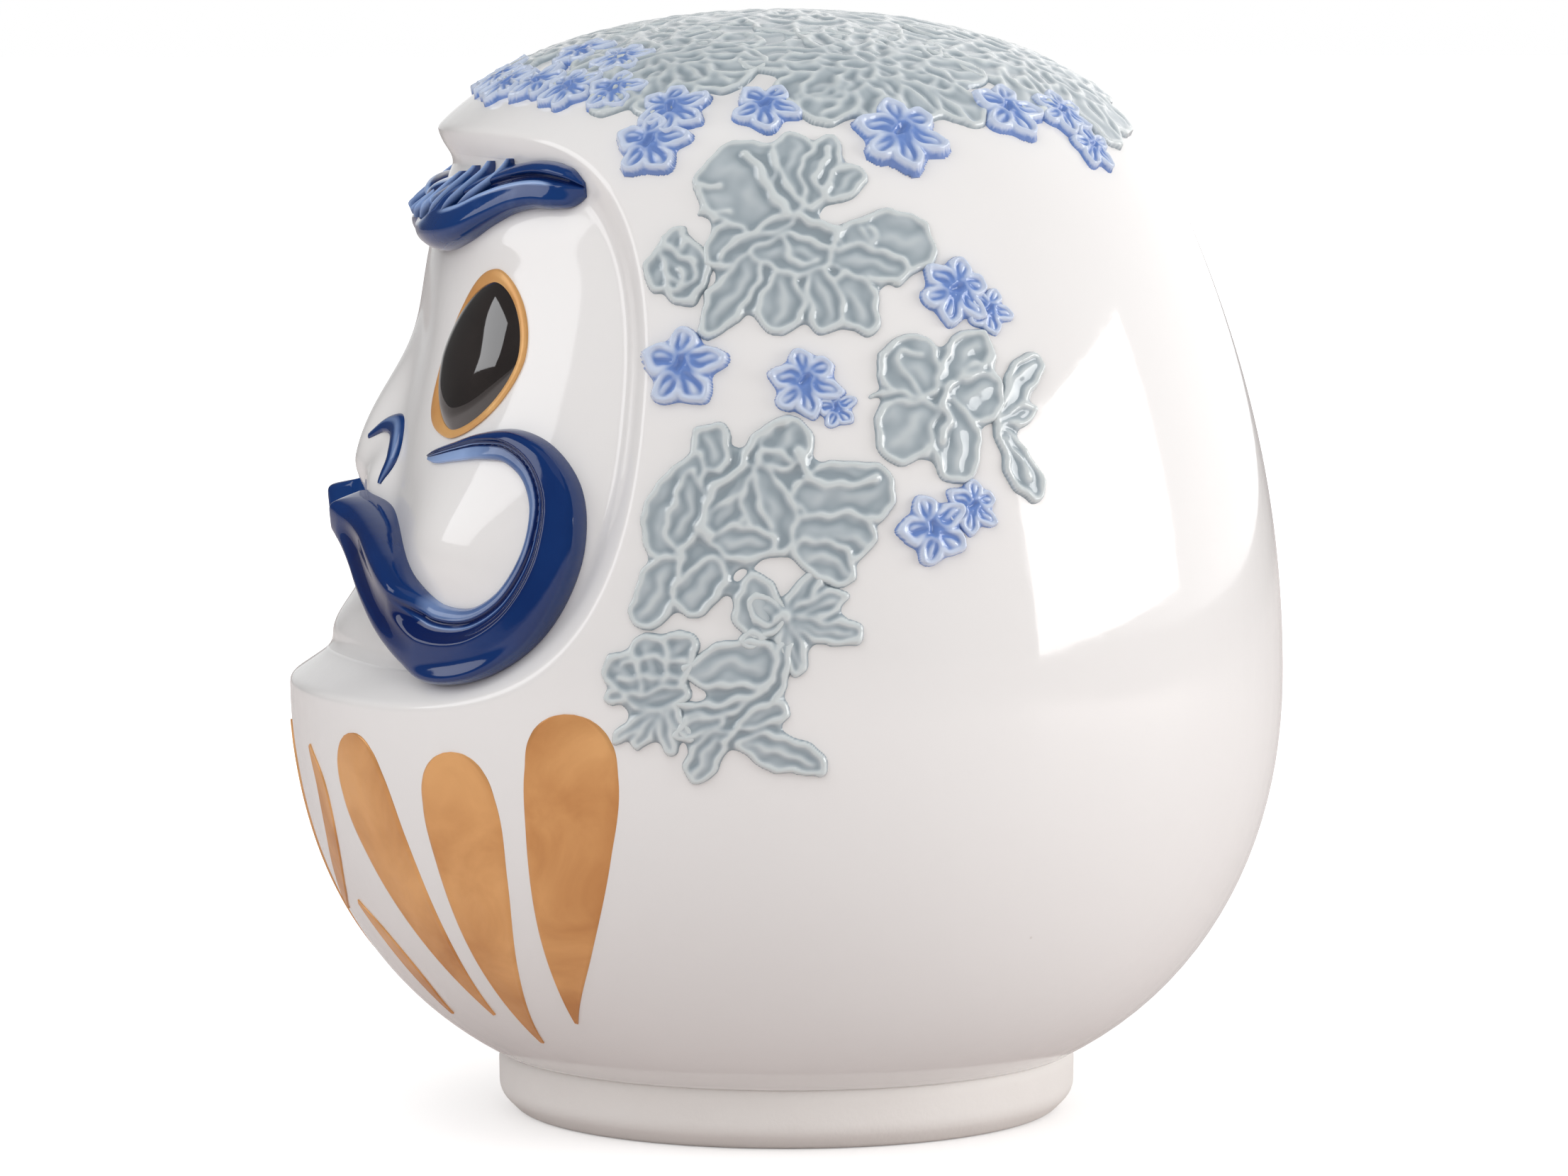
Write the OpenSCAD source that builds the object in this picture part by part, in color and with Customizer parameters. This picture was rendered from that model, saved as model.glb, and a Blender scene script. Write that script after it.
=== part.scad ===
// Porcelain daruma: a round good-luck figure cast in slip, with a face panel, a glazed
// relief of brows, eyes and moustache, slip-trailed flowers and gilded petals.
// +Z is up, the face looks along -Y, and the origin is the middle of the foot on the table.

/* [Body] */
// Height from the table to the crown
doll_h = 200; // [190:1:210]
// Largest radius of the belly
belly_r = 90.8; // [86:0.2:95]
// Height of the widest part of the belly
belly_z = 80; // [74:1:86]
// Height of the shoulder, where the crown starts to close
shoulder_z = 170; // [166:1:174]
// Radius at the shoulder
shoulder_r = 70.2; // [67:0.2:73]
// Thickness of the cast wall
wall = 4.5; // [3.5:0.1:6]

/* [Foot] */
// Height of the foot ring
foot_h = 11.5; // [9:0.5:13]
// Outside radius of the foot ring at its top
foot_r = 52.9; // [50:0.1:56]
// Outside radius of the band that touches the table
contact_r = 48.5; // [46:0.1:50]
// Inside radius of the foot ring
foot_bore_r = 42; // [38:0.5:43]
// Radius of the hole that the slip is poured out of
pour_r = 40; // [34:0.5:41]
// Radius of the kiln vent in the closing disc
vent_r = 4; // [2:0.5:6]

/* [Face] */
// Half angle of the face opening about the doll's axis
face_half_deg = 69; // [64:1:74]
// Height of the widest part of the face opening
face_z = 134; // [132:0.5:135]
// Height of the face opening above its widest part
face_rise = 46; // [42:0.5:47]
// Depth of the face opening below its widest part
face_drop = 54; // [50:0.5:56]
// Depth of the step from the body down to the face
face_step = 5; // [3:0.5:7]
// How much deeper the middle of the face lies
face_hollow = 10; // [6:0.5:12]
// How far the nose stands out of the face
nose_h = 7; // [4:0.5:9]

/* [Relief] */
// Height of the brows over the face
brow_h = 4.6; // [3:0.2:6]
// Height of the moustache over the face
moustache_h = 5.6; // [4:0.2:7]
// Height of the eyeball over the face
eye_h = 3.4; // [2:0.2:5]
// Height of the flower relief over the body
flower_h = 1.8; // [1.2:0.1:2.6]
// Height of the gilding over the glaze, drawn thicker than it is so that it is a solid
gilding_h = 0.5; // [0.4:0.1:0.8]

/* [Hidden] */
$fn = 96;
seat = 0.15;               // gap between a relief piece and the surface it is fixed on
seam = 0.1;                // gap of a luted seam
edge_h = 0.4;              // height of a relief piece at its outer edge
heart_z = 100;             // every ray from the axis at this height meets the body once
top_r = doll_h - 10;       // height of the bend between the shoulder and the flat crown
white = "#ece8e2";
biscuit = "#e6e1d8";
cobalt = "#1f3a78";
black = "#0d0d10";
gold = "#c38c55";
celadon = "#a9b6b4";
blue = "#8fa5d0";

// ---- curves ----
function bezier(p, t) = pow(1 - t, 3) * p[0] + 3 * pow(1 - t, 2) * t * p[1]
    + 3 * (1 - t) * t * t * p[2] + pow(t, 3) * p[3];
// A smooth curve through every row of p, with t from 0 at the first to 1 at the last
function through(p, t) =
    let (n = len(p) - 1, i = min(n - 1, floor(t * n)), s = t * n - i,
         a = p[max(0, i - 1)], b = p[i], c = p[i + 1], d = p[min(n, i + 2)])
    0.5 * (2 * b + (c - a) * s + (2 * a - 5 * b + 4 * c - d) * s * s
        + (3 * b - a - 3 * c + d) * s * s * s);
function bell(x) = exp(-x * x);
function ease(x) = let (c = min(1, max(0, x))) c * c * (3 - 2 * c);

// ---- the body's outline, from the foot to the crown ----
low_curve = [[foot_r + 0.6, foot_h], [75, foot_h + 11], [belly_r, 46], [belly_r, belly_z]];
mid_curve = [[belly_r, belly_z], [belly_r, belly_z + 32], [shoulder_r + 13.6, shoulder_z - 30],
    [shoulder_r, shoulder_z]];
top_curve = [[shoulder_r, shoulder_z], [shoulder_r - 9, top_r], [34, doll_h], [0, doll_h]];
outline = [
    for (i = [0:14]) bezier(low_curve, i / 15),
    for (i = [0:15]) bezier(mid_curve, i / 16),
    for (i = [0:15]) bezier(top_curve, i / 15)];
by_height = [for (p = outline) [p[1], p[0]]];
by_angle = [for (p = outline) [atan2(p[1] - heart_z, p[0]), norm([p[0], p[1] - heart_z])]];
function body_r(z) = lookup(z, by_height);
function deg_per_mm(r) = 180 / (PI * r);
// The body's outline moved inwards by the wall, above the floor of the casting
inner = [for (i = [1:len(outline) - 1])
    let (a = outline[i - 1], b = outline[i], d = (b - a) / norm(b - a))
    if (b[1] > foot_h + wall + 4) [max(0, b[0] - wall * d[1]), b[1] + wall * d[0]]];

// ---- the face, as a depth below the body's outline ----
// 1 on the edge of the opening and less inside it; u and v are shares of its half width and height
function face_level(u, v) = pow(abs(u), 6.5) + pow(abs(v), 2.2);
function share_u(deg) = deg / face_half_deg;
function share_v(z) = (z - face_z) / (z > face_z ? face_rise : face_drop);
function face_depth(deg, z) =
    let (u = share_u(deg), v = share_v(z), q = face_level(u, v), x = abs(deg) * PI / 180 * 68,
         steep = norm([6.5 * pow(abs(u), 5.5) / (face_half_deg / deg_per_mm(body_r(z))),
             2.2 * pow(abs(v), 1.2) / face_rise]) + 0.001,
         rise = ease((1 - q) / steep / 7),
         hollow = face_hollow * bell((z - 120) / 48) * bell(deg / 36),
         nose = nose_h * bell(x / 9) * bell((z - 121) / (z > 121 ? 16 : 7.5)),
         wing = 3.5 * bell((x - 13) / 6) * bell((z - 116) / 7),
         cheek = 4 * bell((x - 46) / 14) * bell((z - 107) / 13),
         chin = 5.5 * bell(x / 16) * bell((z - 89) / 7))
    q >= 1 ? 0 : rise * (face_step + hollow - nose - wing - cheek - chin);
function face_r(deg, z) = body_r(z) - face_depth(deg, z);
function around(r, deg, z) = [r * sin(deg), -r * cos(deg), z];
function on_face(deg, z, up) = around(face_r(deg, z) + seat + up, deg, z);

// ---- the body seen from its heart: the point of the outline in the direction of p ----
function on_body(p, up) =
    let (v = p - [0, 0, heart_z], flat = norm([v[0], v[1]]), d = lookup(atan2(v[2], flat), by_angle))
    [0, 0, heart_z] + v / norm(v) * (d + seat + up);
// A point x mm to the side and y mm up the surface from the place [deg, z]
function beside(deg, z, x, y) =
    let (r = body_r(z), slope = (body_r(z + 1) - body_r(z - 1)) / 2, s = sqrt(1 + slope * slope),
         side = [cos(deg), sin(deg), 0], up = [sin(deg) * slope, -cos(deg) * slope, 1] / s)
    around(r, deg, z) + x * side + y * up;

// ---- closed solids from grids of points ----
function quad(a, b, c, d) = [[a, b, c], [a, c, d]];
function flatten(l) = [for (a = l) for (b = a) b];
// Two n by m grids, the top one first, closed round their rim
module pad(top, bottom) {
    n = len(top);
    m = len(top[0]);
    under = n * m;
    polyhedron(flatten(concat(top, bottom)), flatten([
        for (i = [0:n - 2], j = [0:m - 2]) each [
            quad(i * m + j, i * m + j + 1, (i + 1) * m + j + 1, (i + 1) * m + j),
            quad(under + i * m + j, under + (i + 1) * m + j,
                under + (i + 1) * m + j + 1, under + i * m + j + 1)],
        for (i = [0:n - 2]) each [
            quad(i * m, (i + 1) * m, under + (i + 1) * m, under + i * m),
            quad(i * m + m - 1, under + i * m + m - 1,
                under + (i + 1) * m + m - 1, (i + 1) * m + m - 1)],
        for (j = [0:m - 2]) each [
            quad(j, under + j, under + j + 1, j + 1),
            quad((n - 1) * m + j, (n - 1) * m + j + 1,
                under + (n - 1) * m + j + 1, under + (n - 1) * m + j)]]), convexity = 6);
}
// A centre and rings of k points on top, and the same below
module button(top_middle, top_rings, bottom_middle, bottom_rings) {
    n = len(top_rings);
    k = len(top_rings[0]);
    under = 1 + n * k;
    polyhedron(concat([top_middle], flatten(top_rings), [bottom_middle], flatten(bottom_rings)),
        concat(
            [for (j = [0:k - 1]) [0, 1 + (j + 1) % k, 1 + j]],
            [for (j = [0:k - 1]) [under, under + 1 + j, under + 1 + (j + 1) % k]],
            flatten([for (i = [0:n - 2], j = [0:k - 1]) let (a = 1 + i * k, c = (j + 1) % k) each [
                quad(a + j, a + c, a + k + c, a + k + j),
                quad(under + a + j, under + a + k + j, under + a + k + c, under + a + c)]]),
            flatten([for (j = [0:k - 1]) let (a = 1 + (n - 1) * k, c = (j + 1) % k)
                quad(a + j, a + c, under + a + c, under + a + j)])), convexity = 6);
}
// A rounded band laid on the face: rows of path are [degrees, z, half width, height]
module face_band(path, stations, across) {
    rows = [for (i = [0:stations]) through(path, i / stations)];
    places = [for (i = [0:stations])
        let (a = rows[max(0, i - 1)], b = rows[min(stations, i + 1)], c = rows[i],
             k = deg_per_mm(face_r(c[0], c[1])),
             run = [(b[0] - a[0]) / k, b[1] - a[1]], t = run / norm(run))
        [for (j = [0:across]) let (v = 2 * j / across - 1)
            [c[0] + t[1] * v * c[2] * k, c[1] - t[0] * v * c[2],
                edge_h + c[3] * sqrt(max(0, 1 - v * v))]]];
    pad([for (row = places) [for (p = row) on_face(p[0], p[1], p[2])]],
        [for (row = places) [for (p = row) on_face(p[0], p[1], 0)]]);
}
// A domed flower or leaf on the body: lobes cut in by dent, and long times as long as it is wide
module sprig(deg, z, r, lobes = 5, dent = 0.15, long = 1, turn = 0, h = flower_h) {
    k = 24;
    rim = [for (j = [0:k - 1]) let (a = 360 * j / k, s = r * (1 - dent + dent * cos(lobes * a)))
        [s * cos(a) / sqrt(long) * cos(turn) - s * sin(a) * sqrt(long) * sin(turn),
            s * cos(a) / sqrt(long) * sin(turn) + s * sin(a) * sqrt(long) * cos(turn)]];
    function ring(share, up) = [for (p = rim)
        on_body(beside(deg, z, p[0] * share, p[1] * share), up)];
    button(on_body(beside(deg, z, 0, 0), h), [ring(0.55, h), ring(1, edge_h)],
        on_body(beside(deg, z, 0, 0), 0), [ring(0.55, 0), ring(1, 0)]);
}
// A flat gilded petal, round at the top and pointed at the foot: rows are [degrees, z, half width]
module gilt_stroke(path, stations = 12) {
    rows = [for (i = [0:stations]) through(path, i / stations)];
    function row(up) = [for (c = rows) [for (v = [-1:0.5:1])
        on_body(around(body_r(c[1]), c[0] - v * c[2] * deg_per_mm(body_r(c[1])), c[1]), up)]];
    pad(row(gilding_h), row(0));
}
module mirrored() { mirror([1, 0, 0]) children(); }

// ---- casting, face and foot ----
// How far the edge of the opening lies from its middle in the direction [c, s], by halving
function reach(c, s, low = 0.5, high = 2, turns = 16) =
    let (m = (low + high) / 2)
    turns == 0 ? m : face_level(m * c, m * s) < 1 ? reach(c, s, m, high, turns - 1)
        : reach(c, s, low, m, turns - 1);
opening = [for (a = [0:7.5:352.5]) let (r = reach(cos(a), sin(a)))
    [face_half_deg * r * cos(a), (sin(a) > 0 ? face_rise : face_drop) * r * sin(a)]];
// A wedge from the axis out through the wall, as wide as the opening
module face_wedge() {
    near = [for (p = opening) around(40, p[0], face_z + p[1])];
    far = [for (p = opening) around(130, p[0], face_z + p[1])];
    button(around(130, 0, face_z), [far], around(40, 0, face_z), [near]);
}
module body_shell() color(white) difference() {
    rotate_extrude() polygon(concat(
        [[pour_r, foot_h], [foot_r - 0.6, foot_h]], outline,
        [for (i = [len(inner) - 1:-1:0]) inner[i]],
        [[foot_r - 2, foot_h + wall], [pour_r, foot_h + wall]]));
    face_wedge();
}
module face_mask() {
    rings = 15;
    function place(i) = [for (p = opening) let (s = (1 - seam / face_rise) * pow(i / rings, 0.8))
        [p[0] * s, face_z + p[1] * s]];
    function skin(down) = [for (i = [1:rings]) [for (p = place(i))
        around(face_r(p[0], p[1]) - down, p[0], p[1])]];
    color(white) button(around(face_r(0, face_z), 0, face_z), skin(0),
        around(face_r(0, face_z) - wall + seam, 0, face_z), skin(wall - seam));
}
module foot_ring() color(biscuit) rotate_extrude() difference() {
    union() {
        translate([foot_bore_r, 3]) square([foot_r - foot_bore_r, foot_h - 3]);
        translate([foot_bore_r + 2, 0]) square([contact_r - foot_bore_r - 2, foot_h]);
        intersection() {
            translate([foot_bore_r + 2, 3]) circle(r = 3);
            translate([foot_bore_r - 2, 0]) square([6, foot_h]);
        }
        intersection() {
            translate([contact_r, 4.4]) circle(r = 4.4);
            translate([contact_r, 0]) square([10, foot_h]);
        }
    }
    translate([contact_r + 4.4, -1]) square([10, foot_h + 2]);
    translate([foot_bore_r - 10, -1]) square([10, foot_h + 2]);
}
module base_disc() color(biscuit) translate([0, 0, foot_h]) difference() {
    cylinder(r = pour_r - seam, h = wall);
    translate([0, 0, -1]) cylinder(r = vent_r, h = wall + 2);
}

// ---- face relief ----
brow_path = [[9, 165.5, 2.5, 1.5], [13, 165.6, 6, 4], [18, 166.2, 7, 4.6], [24, 167.8, 6.4, 4.6],
    [30, 169.4, 5.6, 4.5], [36, 170.8, 4.8, 4.4], [42, 171.6, 4.2, 4.2], [48, 171.8, 3.6, 3.8],
    [53, 171.6, 2.6, 3], [56, 171.4, 0.8, 1]];
moustache_path = [[8, 110.5, 4.5, 4], [13, 109, 4.6, 5.2], [19.8, 105.7, 4.7, 5.6],
    [27.8, 100.1, 5.7, 5.6], [34, 95.2, 6.4, 5.6], [40.5, 91.4, 6.5, 5.6], [47.5, 92.2, 6.4, 5.6],
    [52.3, 96.2, 6.2, 5.4], [55.8, 103, 6, 5.2], [57.4, 110.5, 5.8, 5], [56.8, 118, 5.2, 4.6],
    [53.6, 123.6, 4, 4], [49, 126.2, 2.9, 3.2], [44, 126, 2.3, 2.6], [38.5, 124.6, 1.5, 2],
    [30.5, 123, 0.5, 0.8]];
nostril_path = [[6, 126, 0.6, 0.2], [10, 126.5, 1, 0.6], [13.5, 124.5, 1.3, 0.8],
    [14, 120, 1, 0.6], [13, 117, 0.4, 0.2]];
function scaled(path, h, top) = [for (p = path) [p[0], p[1], p[2], p[3] * h / top]];
module brow_left() color(cobalt) face_band(scaled(brow_path, brow_h, 4.6), 20, 6);
module brow_right() mirrored() brow_left();
module moustache_left() color(cobalt) face_band(scaled(moustache_path, moustache_h, 5.6), 36, 6);
module moustache_right() mirrored() moustache_left();
module nostril_left() color(cobalt) face_band(nostril_path, 10, 2);
module nostril_right() mirrored() nostril_left();

// The eye is an upright pointed oval, leaning out at the top
eye_deg = 37.5;
eye_z = 141;
eye_half_w = 11.8;
eye_half_h = 13.4;
function eye_place(a, share) = let (r = 1 / pow(pow(abs(cos(a)), 1.7) + pow(abs(sin(a)), 1.7), 1 / 1.7),
    x = eye_half_w * cos(a) * r * share, y = eye_half_h * sin(a) * r * share)
    [eye_deg + (x + 0.15 * y) * deg_per_mm(75), eye_z + y];
module eye_left() {
    function ring(share, up) = [for (a = [0:12:348]) let (p = eye_place(a, share)) on_face(p[0], p[1], up)];
    color(black) button(on_face(eye_deg, eye_z, eye_h), [ring(0.5, 0.9 * eye_h), ring(0.95, edge_h)],
        on_face(eye_deg, eye_z, 0), [ring(0.5, 0), ring(0.95, 0)]);
}
module eye_right() mirrored() eye_left();
module eye_rim_left() {
    section = [[1, 0], [1, 1], [1.1, 1.4], [1.22, 0.6], [1.22, 0]];
    n = len(section);
    angles = [0:12:348];
    points = [for (a = angles) each [for (s = section) let (p = eye_place(a, s[0])) on_face(p[0], p[1], s[1])]];
    k = len(points) / n;
    color(gold) polyhedron(points, flatten([for (i = [0:k - 1], j = [0:n - 1])
        let (b = ((i + 1) % k) * n, c = (j + 1) % n) quad(i * n + j, b + j, b + c, i * n + c)]),
        convexity = 6);
}
module eye_rim_right() mirrored() eye_rim_left();

// ---- gilding on the belly ----
petal_paths = [
    [[27, 73.8, 1.5], [27.6, 71.5, 6.5], [29, 66, 8.4], [32, 54, 7.4], [35.5, 39, 4], [38.7, 24, 0.3]],
    [[45.4, 73.1, 1.5], [45.8, 71, 6.5], [46.5, 65, 8.6], [46.3, 52, 7.6], [45.5, 35, 4], [44.5, 19.2, 0.3]],
    [[61.6, 81.2, 1.5], [61.7, 79, 6.5], [61.7, 72, 8.6], [60.5, 58, 7.4], [57.8, 40, 3.6], [54.7, 24.5, 0.3]]];
module gold_petals_left() color(gold) for (path = petal_paths) gilt_stroke(path);
module gold_petals_right() mirrored() gold_petals_left();
// A plain leaf spray in the middle: one upright leaf between two pairs of curved strokes
crest_stroke = [[15, 70, 0.6], [17.5, 63, 2.6], [17, 54, 3], [13, 45, 2.2], [8, 39, 0.5]];
low_stroke = [[18, 42, 0.6], [22, 36, 2.2], [24.5, 29, 2.4], [25, 22, 0.5]];
module gold_crest() color(gold) {
    gilt_stroke([[0, 72, 0.6], [0, 66, 4.5], [0, 56, 6.5], [0, 44, 5], [0, 30, 0.5]]);
    for (side = [0, 1]) mirror([side, 0, 0]) {
        gilt_stroke(crest_stroke);
        gilt_stroke(low_stroke);
    }
}

// ---- slip-trailed flowers ----
module high_peony_left() color(celadon) sprig(87.2, 164.3, 21, 7, 0.1);
module high_peony_right() mirrored() high_peony_left();
module low_peony_left() color(celadon) sprig(83, 114.6, 21, 7, 0.1);
module low_peony_right() mirrored() low_peony_left();
module camellia_left() color(celadon) sprig(104.8, 134.4, 13.4, 5, 0.08);
module camellia_right() mirrored() camellia_left();
module chrysanthemum_left() color(celadon) sprig(70.3, 85.4, 9, 9, 0.06, long = 1.25);
module chrysanthemum_right() mirrored() chrysanthemum_left();
module daisy_left() color(celadon) sprig(92.2, 94.4, 7.4, 8, 0.1);
module daisy_right() mirrored() daisy_left();
// Single leaves and buds: degrees, height, half length, turn
leaf_places = [[71.3, 157.4, 6, 0], [115.8, 139.5, 8, -20], [114, 122, 7, 30], [71.2, 101.5, 5.5, -30],
    [79.5, 90.5, 6, 60], [77.3, 75, 5, 20], [84, 77.5, 5.5, -50], [87.5, 70.5, 4.5, 10]];
module leaves_left() color(celadon)
    for (p = leaf_places) sprig(p[0], p[1], p[2], 2, 0.12, long = 1.3, turn = p[3]);
module leaves_right() mirrored() leaves_left();
// Small five-petalled blossoms: degrees, height, half width
blossom_places = [[73.3, 141, 7.5], [88, 138.5, 5.5], [108, 153.6, 6.5], [102.5, 113.6, 7]];
module blossoms_left() color(blue)
    for (p = blossom_places) sprig(p[0], p[1], p[2], 5, 0.14);
module blossoms_right() mirrored() blossoms_left();
// The crown carries a ring of flowers round a middle one
module crown_flowers() color(celadon) {
    sprig(0, 199.5, 13, 7, 0.1);
    for (deg = [30:60:330]) sprig(deg, 194, 11.5, 6, 0.1);
}
module crown_blossoms() color(blue)
    for (deg = [40, 64, 130, 230, 296, 320]) sprig(deg, 182.5, 8, 5, 0.14);

body_shell();
face_mask();
foot_ring();
base_disc();
brow_left();
brow_right();
eye_left();
eye_right();
eye_rim_left();
eye_rim_right();
nostril_left();
nostril_right();
moustache_left();
moustache_right();
gold_petals_left();
gold_petals_right();
gold_crest();
high_peony_left();
high_peony_right();
low_peony_left();
low_peony_right();
camellia_left();
camellia_right();
chrysanthemum_left();
chrysanthemum_right();
daisy_left();
daisy_right();
leaves_left();
leaves_right();
blossoms_left();
blossoms_right();
crown_flowers();
crown_blossoms();
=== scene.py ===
import math

import bpy
import numpy as np
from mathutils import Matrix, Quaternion, Vector


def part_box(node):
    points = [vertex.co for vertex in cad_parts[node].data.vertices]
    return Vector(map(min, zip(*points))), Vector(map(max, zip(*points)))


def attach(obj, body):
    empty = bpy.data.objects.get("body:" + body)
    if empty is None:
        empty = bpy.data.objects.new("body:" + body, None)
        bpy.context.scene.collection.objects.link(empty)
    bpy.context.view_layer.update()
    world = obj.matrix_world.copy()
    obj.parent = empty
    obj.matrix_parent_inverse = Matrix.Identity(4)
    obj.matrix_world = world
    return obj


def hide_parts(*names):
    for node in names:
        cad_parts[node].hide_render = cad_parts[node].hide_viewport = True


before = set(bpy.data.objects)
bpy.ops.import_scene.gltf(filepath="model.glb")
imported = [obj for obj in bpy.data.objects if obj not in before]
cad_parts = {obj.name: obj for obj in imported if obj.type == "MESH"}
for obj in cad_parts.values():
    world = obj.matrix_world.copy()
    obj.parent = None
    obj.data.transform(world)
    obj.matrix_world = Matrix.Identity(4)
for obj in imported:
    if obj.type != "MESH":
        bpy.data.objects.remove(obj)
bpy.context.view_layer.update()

# ---------------------------------------------------------------------------------------------
# The cast body. A hollow porcelain casting, turned in outline, with an opening for the face. Its
# outline, the edge of that opening and every relief piece follow the same few measures, all in
# millimetres until a mesh is made. It is glazed white inside the seam and out.
# ---------------------------------------------------------------------------------------------
MM = 0.001
BELLY_Z = 80.0
SHOULDER_R, SHOULDER_Z = 70.2, 170.0
HEART_Z = 100.0                 # every ray from the axis at this height meets the body once
DOLL_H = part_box("body_shell")[1][2] / MM
BELLY_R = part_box("body_shell")[1][0] / MM
FOOT_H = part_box("foot_ring")[1][2] / MM
FOOT_R = 52.9
POUR_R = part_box("base_disc")[1][0] / MM
WALL = 4.3
FACE_HALF_DEG = 69.0
FACE_Z, FACE_RISE, FACE_DROP = 134.0, 46.0, 54.0
FACE_STEP = 5.0                 # depth of the step from the body down to the face
FACE_R = 68.0                   # radius at which widths on the face are measured
SEAM = 0.9                      # share of the opening at which casting and face panel meet


def bezier(points, t):
    a, b, c, d = (np.array(p, float) for p in points)
    t = np.asarray(t, float)[:, None]
    return (1 - t) ** 3 * a + 3 * (1 - t) ** 2 * t * b + 3 * (1 - t) * t * t * c + t ** 3 * d


outline = np.vstack([bezier(points, np.linspace(0, 1, 300)) for points in (
    ((FOOT_R + 0.6, FOOT_H), (75, FOOT_H + 11), (BELLY_R, 46), (BELLY_R, BELLY_Z)),
    ((BELLY_R, BELLY_Z), (BELLY_R, BELLY_Z + 32), (SHOULDER_R + 13.6, SHOULDER_Z - 30),
     (SHOULDER_R, SHOULDER_Z)),
    ((SHOULDER_R, SHOULDER_Z), (SHOULDER_R - 9, DOLL_H - 10), (34, DOLL_H), (0, DOLL_H)))])
outline_angle = np.degrees(np.arctan2(outline[:, 1] - HEART_Z, outline[:, 0]))
outline_reach = np.hypot(outline[:, 0], outline[:, 1] - HEART_Z)
run = np.gradient(outline, axis=0)
run /= np.linalg.norm(run, axis=1)[:, None]
outline_out, outline_up = run[:, 1], -run[:, 0]     # the outward normal, across and up


def body_r(z):
    return np.interp(z, outline[:, 1], outline[:, 0])


def around(r, deg, z):
    """Points at a radius, an angle from the front towards the doll's left, and a height."""
    deg = np.radians(deg)
    return np.stack(np.broadcast_arrays(r * np.sin(deg), -r * np.cos(deg), z), axis=-1)


def on_body(points, lift=0.0):
    """Moves points onto the body along rays from its heart, then out by lift along its normal."""
    ray = points - (0, 0, HEART_Z)
    across = np.hypot(ray[..., 0], ray[..., 1])
    angle = np.degrees(np.arctan2(ray[..., 2], across))
    reach = np.interp(angle, outline_angle, outline_reach)
    out = np.interp(angle, outline_angle, outline_out) / np.maximum(across, 1e-9)
    up = np.interp(angle, outline_angle, outline_up)
    normal = np.stack([ray[..., 0] * out, ray[..., 1] * out, up], axis=-1)
    ray = ray / np.linalg.norm(ray, axis=-1)[..., None] * reach[..., None]
    return ray + (0, 0, HEART_Z) + normal * np.asarray(lift)[..., None]


def face_level(u, v):
    """1 on the edge of the opening, less inside it."""
    return np.abs(u) ** 6.5 + np.abs(v) ** 2.2


def inside_opening(deg, z):
    """Distance in from the edge of the opening, in millimetres, less than nothing outside it."""
    u = deg / FACE_HALF_DEG
    rise = np.where(z > FACE_Z, FACE_RISE, FACE_DROP)
    v = (z - FACE_Z) / rise
    across = 6.5 * np.abs(u) ** 5.5 / (np.radians(FACE_HALF_DEG) * body_r(z))
    return (1 - face_level(u, v)) / (np.hypot(across, 2.2 * np.abs(v) ** 1.2 / rise) + 1e-3)


# The step down to the face: a tight rounded lip, then a long soft hollow
step_at = np.linspace(-1.0, 8.0, 240)
step_starts = np.clip((step_at + 1.0) / 1.7, 0, 1) ** 1.4
step_ends = 1 - np.clip((step_at - 4.0) / 4.0, 0, 1) ** 1.2
step_share = np.cumsum(step_starts * step_ends) / np.sum(step_starts * step_ends)


def bell(x):
    return np.exp(-x * x)


def face_depth(deg, z):
    """How far the face lies below the body's outline: its hollow, nose, cheeks and chin."""
    x = np.radians(np.abs(deg)) * FACE_R
    hollow = 10 * bell((z - 120) / 48) * bell(deg / 36)
    nose = 6.8 * bell(x / 9.5) * bell((z - 120.5) / np.where(z > 120.5, 18.5, 8.5))
    bridge = 1.4 * bell((z - 142) / 10) * bell(x / 26)
    wing = 3.5 * bell((x - 13) / 6) * bell((z - 116) / 7)
    cheek = 4 * bell((x - 47) / 13) * bell((z - 108) / 12)
    chin = 3.8 * bell(x / 16) * bell((z - 89) / 7)
    brow = 1.6 * bell((x - 38) / 22) * bell((z - 163) / 6)
    socket = 1.5 * bell((x - 45) / 13) * bell((z - 141) / 13)
    share = np.interp(inside_opening(deg, z), step_at, step_share, left=0, right=1)
    return share * (FACE_STEP + hollow + bridge + socket - nose - wing - cheek - chin - brow)


def edge_of_opening(turns):
    """Degrees and heights of the opening's edge in the directions given, counted from its middle."""
    c, s = np.cos(turns), np.sin(turns)
    low, high = np.full_like(c, 0.5), np.full_like(c, 2.0)
    for _ in range(40):
        middle = (low + high) / 2
        within = face_level(middle * c, middle * s) < 1
        low, high = np.where(within, middle, low), np.where(within, high, middle)
    return FACE_HALF_DEG * low * c, np.where(s > 0, FACE_RISE, FACE_DROP) * low * s


def linked(name, data):
    thing = bpy.data.objects.new(name, data)
    bpy.context.scene.collection.objects.link(thing)
    return thing


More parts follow.
